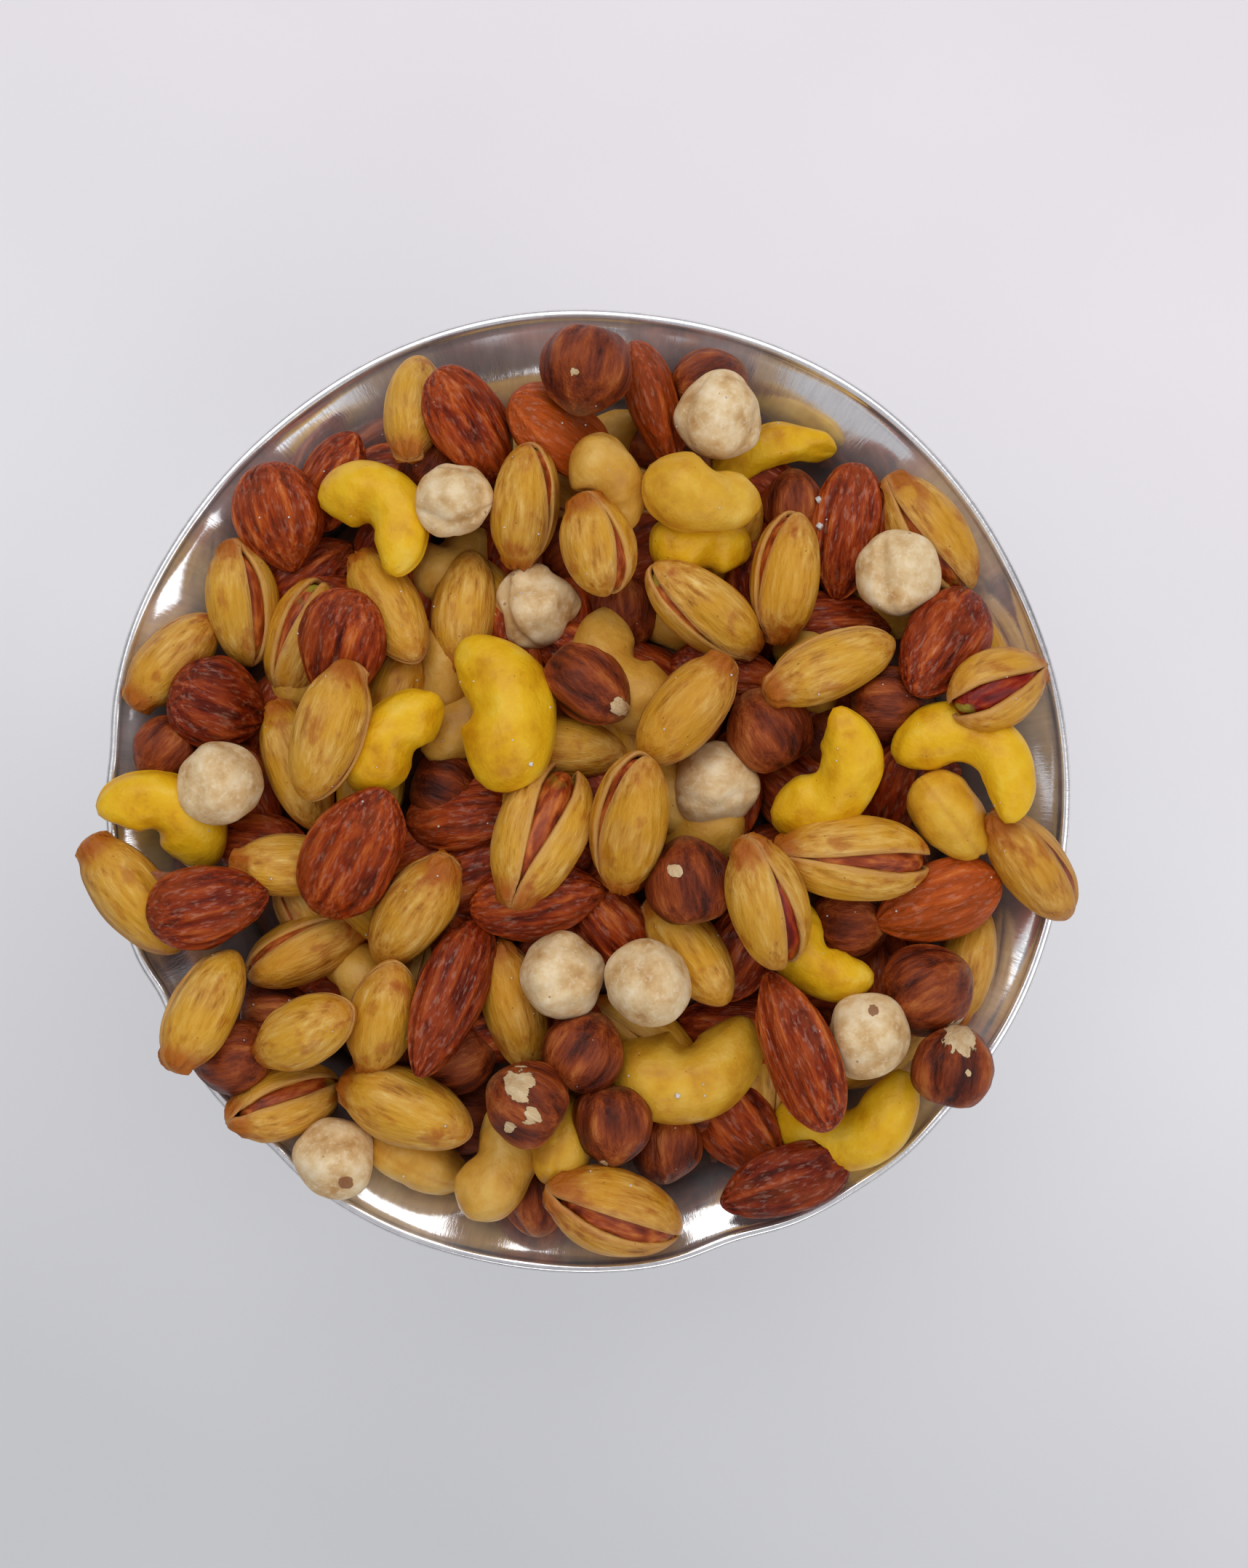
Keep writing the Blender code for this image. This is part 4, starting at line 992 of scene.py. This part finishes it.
def add_blanched(bm, grain, tone, number, fine, nut):
    seed = Vector((2.9, 1.7, 4.3)) * number
    place = nut_place(nut)
    lines = [number * 1.7 + step * math.tau / 3 for step in range(3)]
    for vert, along, side, up, around, out in ball(bm, *BLANCHED_MESH):
        lump = noise.noise(Vector((along, side, up)) * 1.2 + seed)
        dimple = noise.noise(Vector((along, side, up)) * 3.4 + seed)
        turned = math.atan2(up, side) + 0.25 * noise.noise(Vector((along * 1.5, 0, 0)) + seed)
        away = [(turned - line + math.pi) % math.tau - math.pi for line in lines]
        crease = sum(math.exp(-angle ** 2 / 0.03) for angle in away)
        point = max(0.0, along - 0.82) / 0.18
        half = nut.width / 2 * around * (1.0 - 0.06 * along)
        rise = (lump * BLANCHED_LOBE * (0.5 + nut.own) + dimple * BLANCHED_DIMPLE * nut.own
                - crease * BLANCHED_CREASE * (0.15 + nut.own)) * min(1.0, around * 1.6)
        local = Vector((along * (nut.length / 2 + lump * 0.4 * MM) + point * BLANCHED_TIP,
                        out.y * (half + rise), out.z * (half * DEPTH["blanched"] + rise)))
        vert[grain] = local / (10 * MM) + seed
        vert.co = place @ local
        # the green of the tone carries the creases, for painted shade
        vert[tone] = (nearness(vert.co, nut, BROWN_SPOTS), crease * nut.own, 0.0, 1.0)


def blanched_finish():
    material, tree, shader = new_material("blanched_hazelnut")
    grain, spot, crease = nut_coordinates(tree)[:3]
    clouds = soft_noise(tree, grain, 2.4, 4.0, 0.55)
    chalk = soft_noise(tree, grain, 9.0, 5.0, 0.6)
    wax = ramp(tree, clouds, [(0.32, (188, 144, 88)), (0.44, (210, 174, 122)), (0.56, (224, 196, 149)),
                              (0.7, (236, 216, 180))])
    dusted = stained(tree, wax, (240, 224, 192), steps_between(tree, chalk, 0.5, 0.66), 0.4)
    # painted shade: the colour darkens in the creases
    shaded = stained(tree, dusted, (186, 146, 92), crease, 0.3)
    fleck = compute(tree, "MULTIPLY", pinpricks(tree, grain, 2.4, 0.07),
                    steps_between(tree, clouds, 0.48, 0.54))
    left_on = steps_between(tree, plus(tree, spot, chalk, 0.5), 0.72, 0.78)
    brown = compute(tree, "MAXIMUM", compute(tree, "MULTIPLY", fleck, 0.6),
                    compute(tree, "MULTIPLY", left_on, 0.85))
    fill(tree, shader, {
        "Base Color": blend(tree, brown, shaded, linear((128, 72, 34))),
        "Roughness": 0.45,
        "Specular IOR Level": 0.22,
        "Subsurface Weight": 0.1,
        "Subsurface Radius": (1.0, 0.7, 0.4),
        "Subsurface Scale": 0.0015,
    })
    bumped(tree, shader, plus(tree, clouds, chalk, 0.25), 0.0004, 0.7)
    return material


make_kind("blanched", "blanched_hazelnuts", add_blanched, blanched_finish())


# The salt and the scraps: coarse grains of roasting salt and fine ones that cling to the
# nuts, a curled flake of red-brown skin at the left edge and a pale crumb near the bottom.
COARSE_SALT = (                         # x, y and half size in mm
    (37.9, 50.7, 0.5), (37.9, 47.7, 0.42), (38.0, 43.2, 0.45), (14.6, -49.0, 0.35), (-8.6, 4.2, 0.3),
)
FINE_SALT = 110
FINE_SALT_SIZE = (0.07, 0.16)           # half size in mm
SALT_REACH = 70 * MM
SALT_BEVEL = 0.05 * MM
FLAKE = (-69.4, -14.6)
FLAKE_SIZE = (2.1, 1.5)                 # half sizes in mm
FLAKE_WALL = 0.15 * MM
FLAKE_LIFT = 0.5 * MM
CRUMB = (21.2, -61.2)
CRUMB_RADIUS = 0.9 * MM
CRUMB_LIFT = 0.8 * MM


def resting_place(x, y):
    """The top of the heap under a place, in metres."""
    hits = [tree.ray_cast(Vector((x, y, 0.2)), Vector((0, 0, -1)))[0] for tree in surfaces]
    return max((hit for hit in hits if hit is not None), key=lambda hit: hit.z, default=None)


def salt_finish():
    material, tree, shader = new_material("salt")
    place = wire(tree, "TexCoord").outputs["Object"]
    frost = soft_noise(tree, place, 3000.0, 2.0)
    colour = ramp(tree, frost, [(0.3, (224, 220, 212)), (0.7, (250, 248, 244))])
    fill(tree, shader, {"Base Color": colour, "Roughness": 0.3, "Transmission Weight": 0.3})
    return material


def flake_finish():
    material, tree, shader = new_material("skin_flake")
    place = wire(tree, "TexCoord").outputs["Object"]
    colour = ramp(tree, soft_noise(tree, place, 900.0, 4.0), [(0.3, (104, 46, 16)), (0.7, (172, 96, 44))])
    fill(tree, shader, {"Base Color": colour, "Roughness": 0.6})
    return material


def add_grain(bm, x, y, half):
    spot = resting_place(x, y)
    if spot is None:
        return
    turn = Matrix.Rotation(chance.uniform(0, 6), 4, Vector((chance.random(), chance.random(), 1.0)))
    middle = Matrix.Translation(spot + Vector((0, 0, half * 0.5)))
    bmesh.ops.create_cube(bm, size=2 * half, matrix=middle @ turn)


def make_salt():
    bm = bmesh.new()
    for x, y, half in COARSE_SALT:
        add_grain(bm, x * MM, y * MM, half * MM)
    for _ in range(FINE_SALT):
        reach, angle = SALT_REACH * math.sqrt(chance.random()), chance.uniform(0, math.tau)
        add_grain(bm, reach * math.cos(angle), reach * math.sin(angle), chance.uniform(*FINE_SALT_SIZE) * MM)
    bmesh.ops.bevel(bm, geom=bm.edges[:], offset=SALT_BEVEL, offset_type="OFFSET", affect="EDGES", segments=1,
                    profile=0.5, material=-1)
    kind_piece("salt_grains", bm, salt_finish())


def make_scraps():
    bm = bmesh.new()
    spot = resting_place(FLAKE[0] * MM, FLAKE[1] * MM) + Vector((0, 0, FLAKE_LIFT))
    bmesh.ops.create_grid(bm, x_segments=8, y_segments=6, size=1.0)
    for vert in bm.verts:
        ragged = 1.0 + 0.35 * noise.noise(vert.co * 1.7)
        curl = 0.5 * vert.co.x ** 2 + 0.3 * noise.noise(vert.co * 2)
        across, up = vert.co.x * FLAKE_SIZE[0] * ragged, vert.co.y * FLAKE_SIZE[1] * ragged
        vert.co = spot + Vector((across, up, curl)) * MM
    bm.normal_update()
    bmesh.ops.solidify(bm, geom=bm.faces[:], thickness=FLAKE_WALL)
    before = len(bm.verts)
    bmesh.ops.create_icosphere(bm, subdivisions=2, radius=CRUMB_RADIUS)
    bm.verts.ensure_lookup_table()
    crumb = resting_place(CRUMB[0] * MM, CRUMB[1] * MM) + Vector((0, 0, CRUMB_LIFT))
    for vert in bm.verts[before:]:
        vert.co = crumb + vert.co * (1.0 + 0.4 * noise.noise(vert.co * 1500))
    kind_piece("scraps", bm, flake_finish())


settled = bpy.context.evaluated_depsgraph_get()
surfaces = [BVHTree.FromObject(bpy.data.objects[name], settled) for name in
                ("almonds", "pistachio_shells", "cashews", "hazelnuts", "blanched_hazelnuts", "steel_bowl")]
make_salt()
make_scraps()
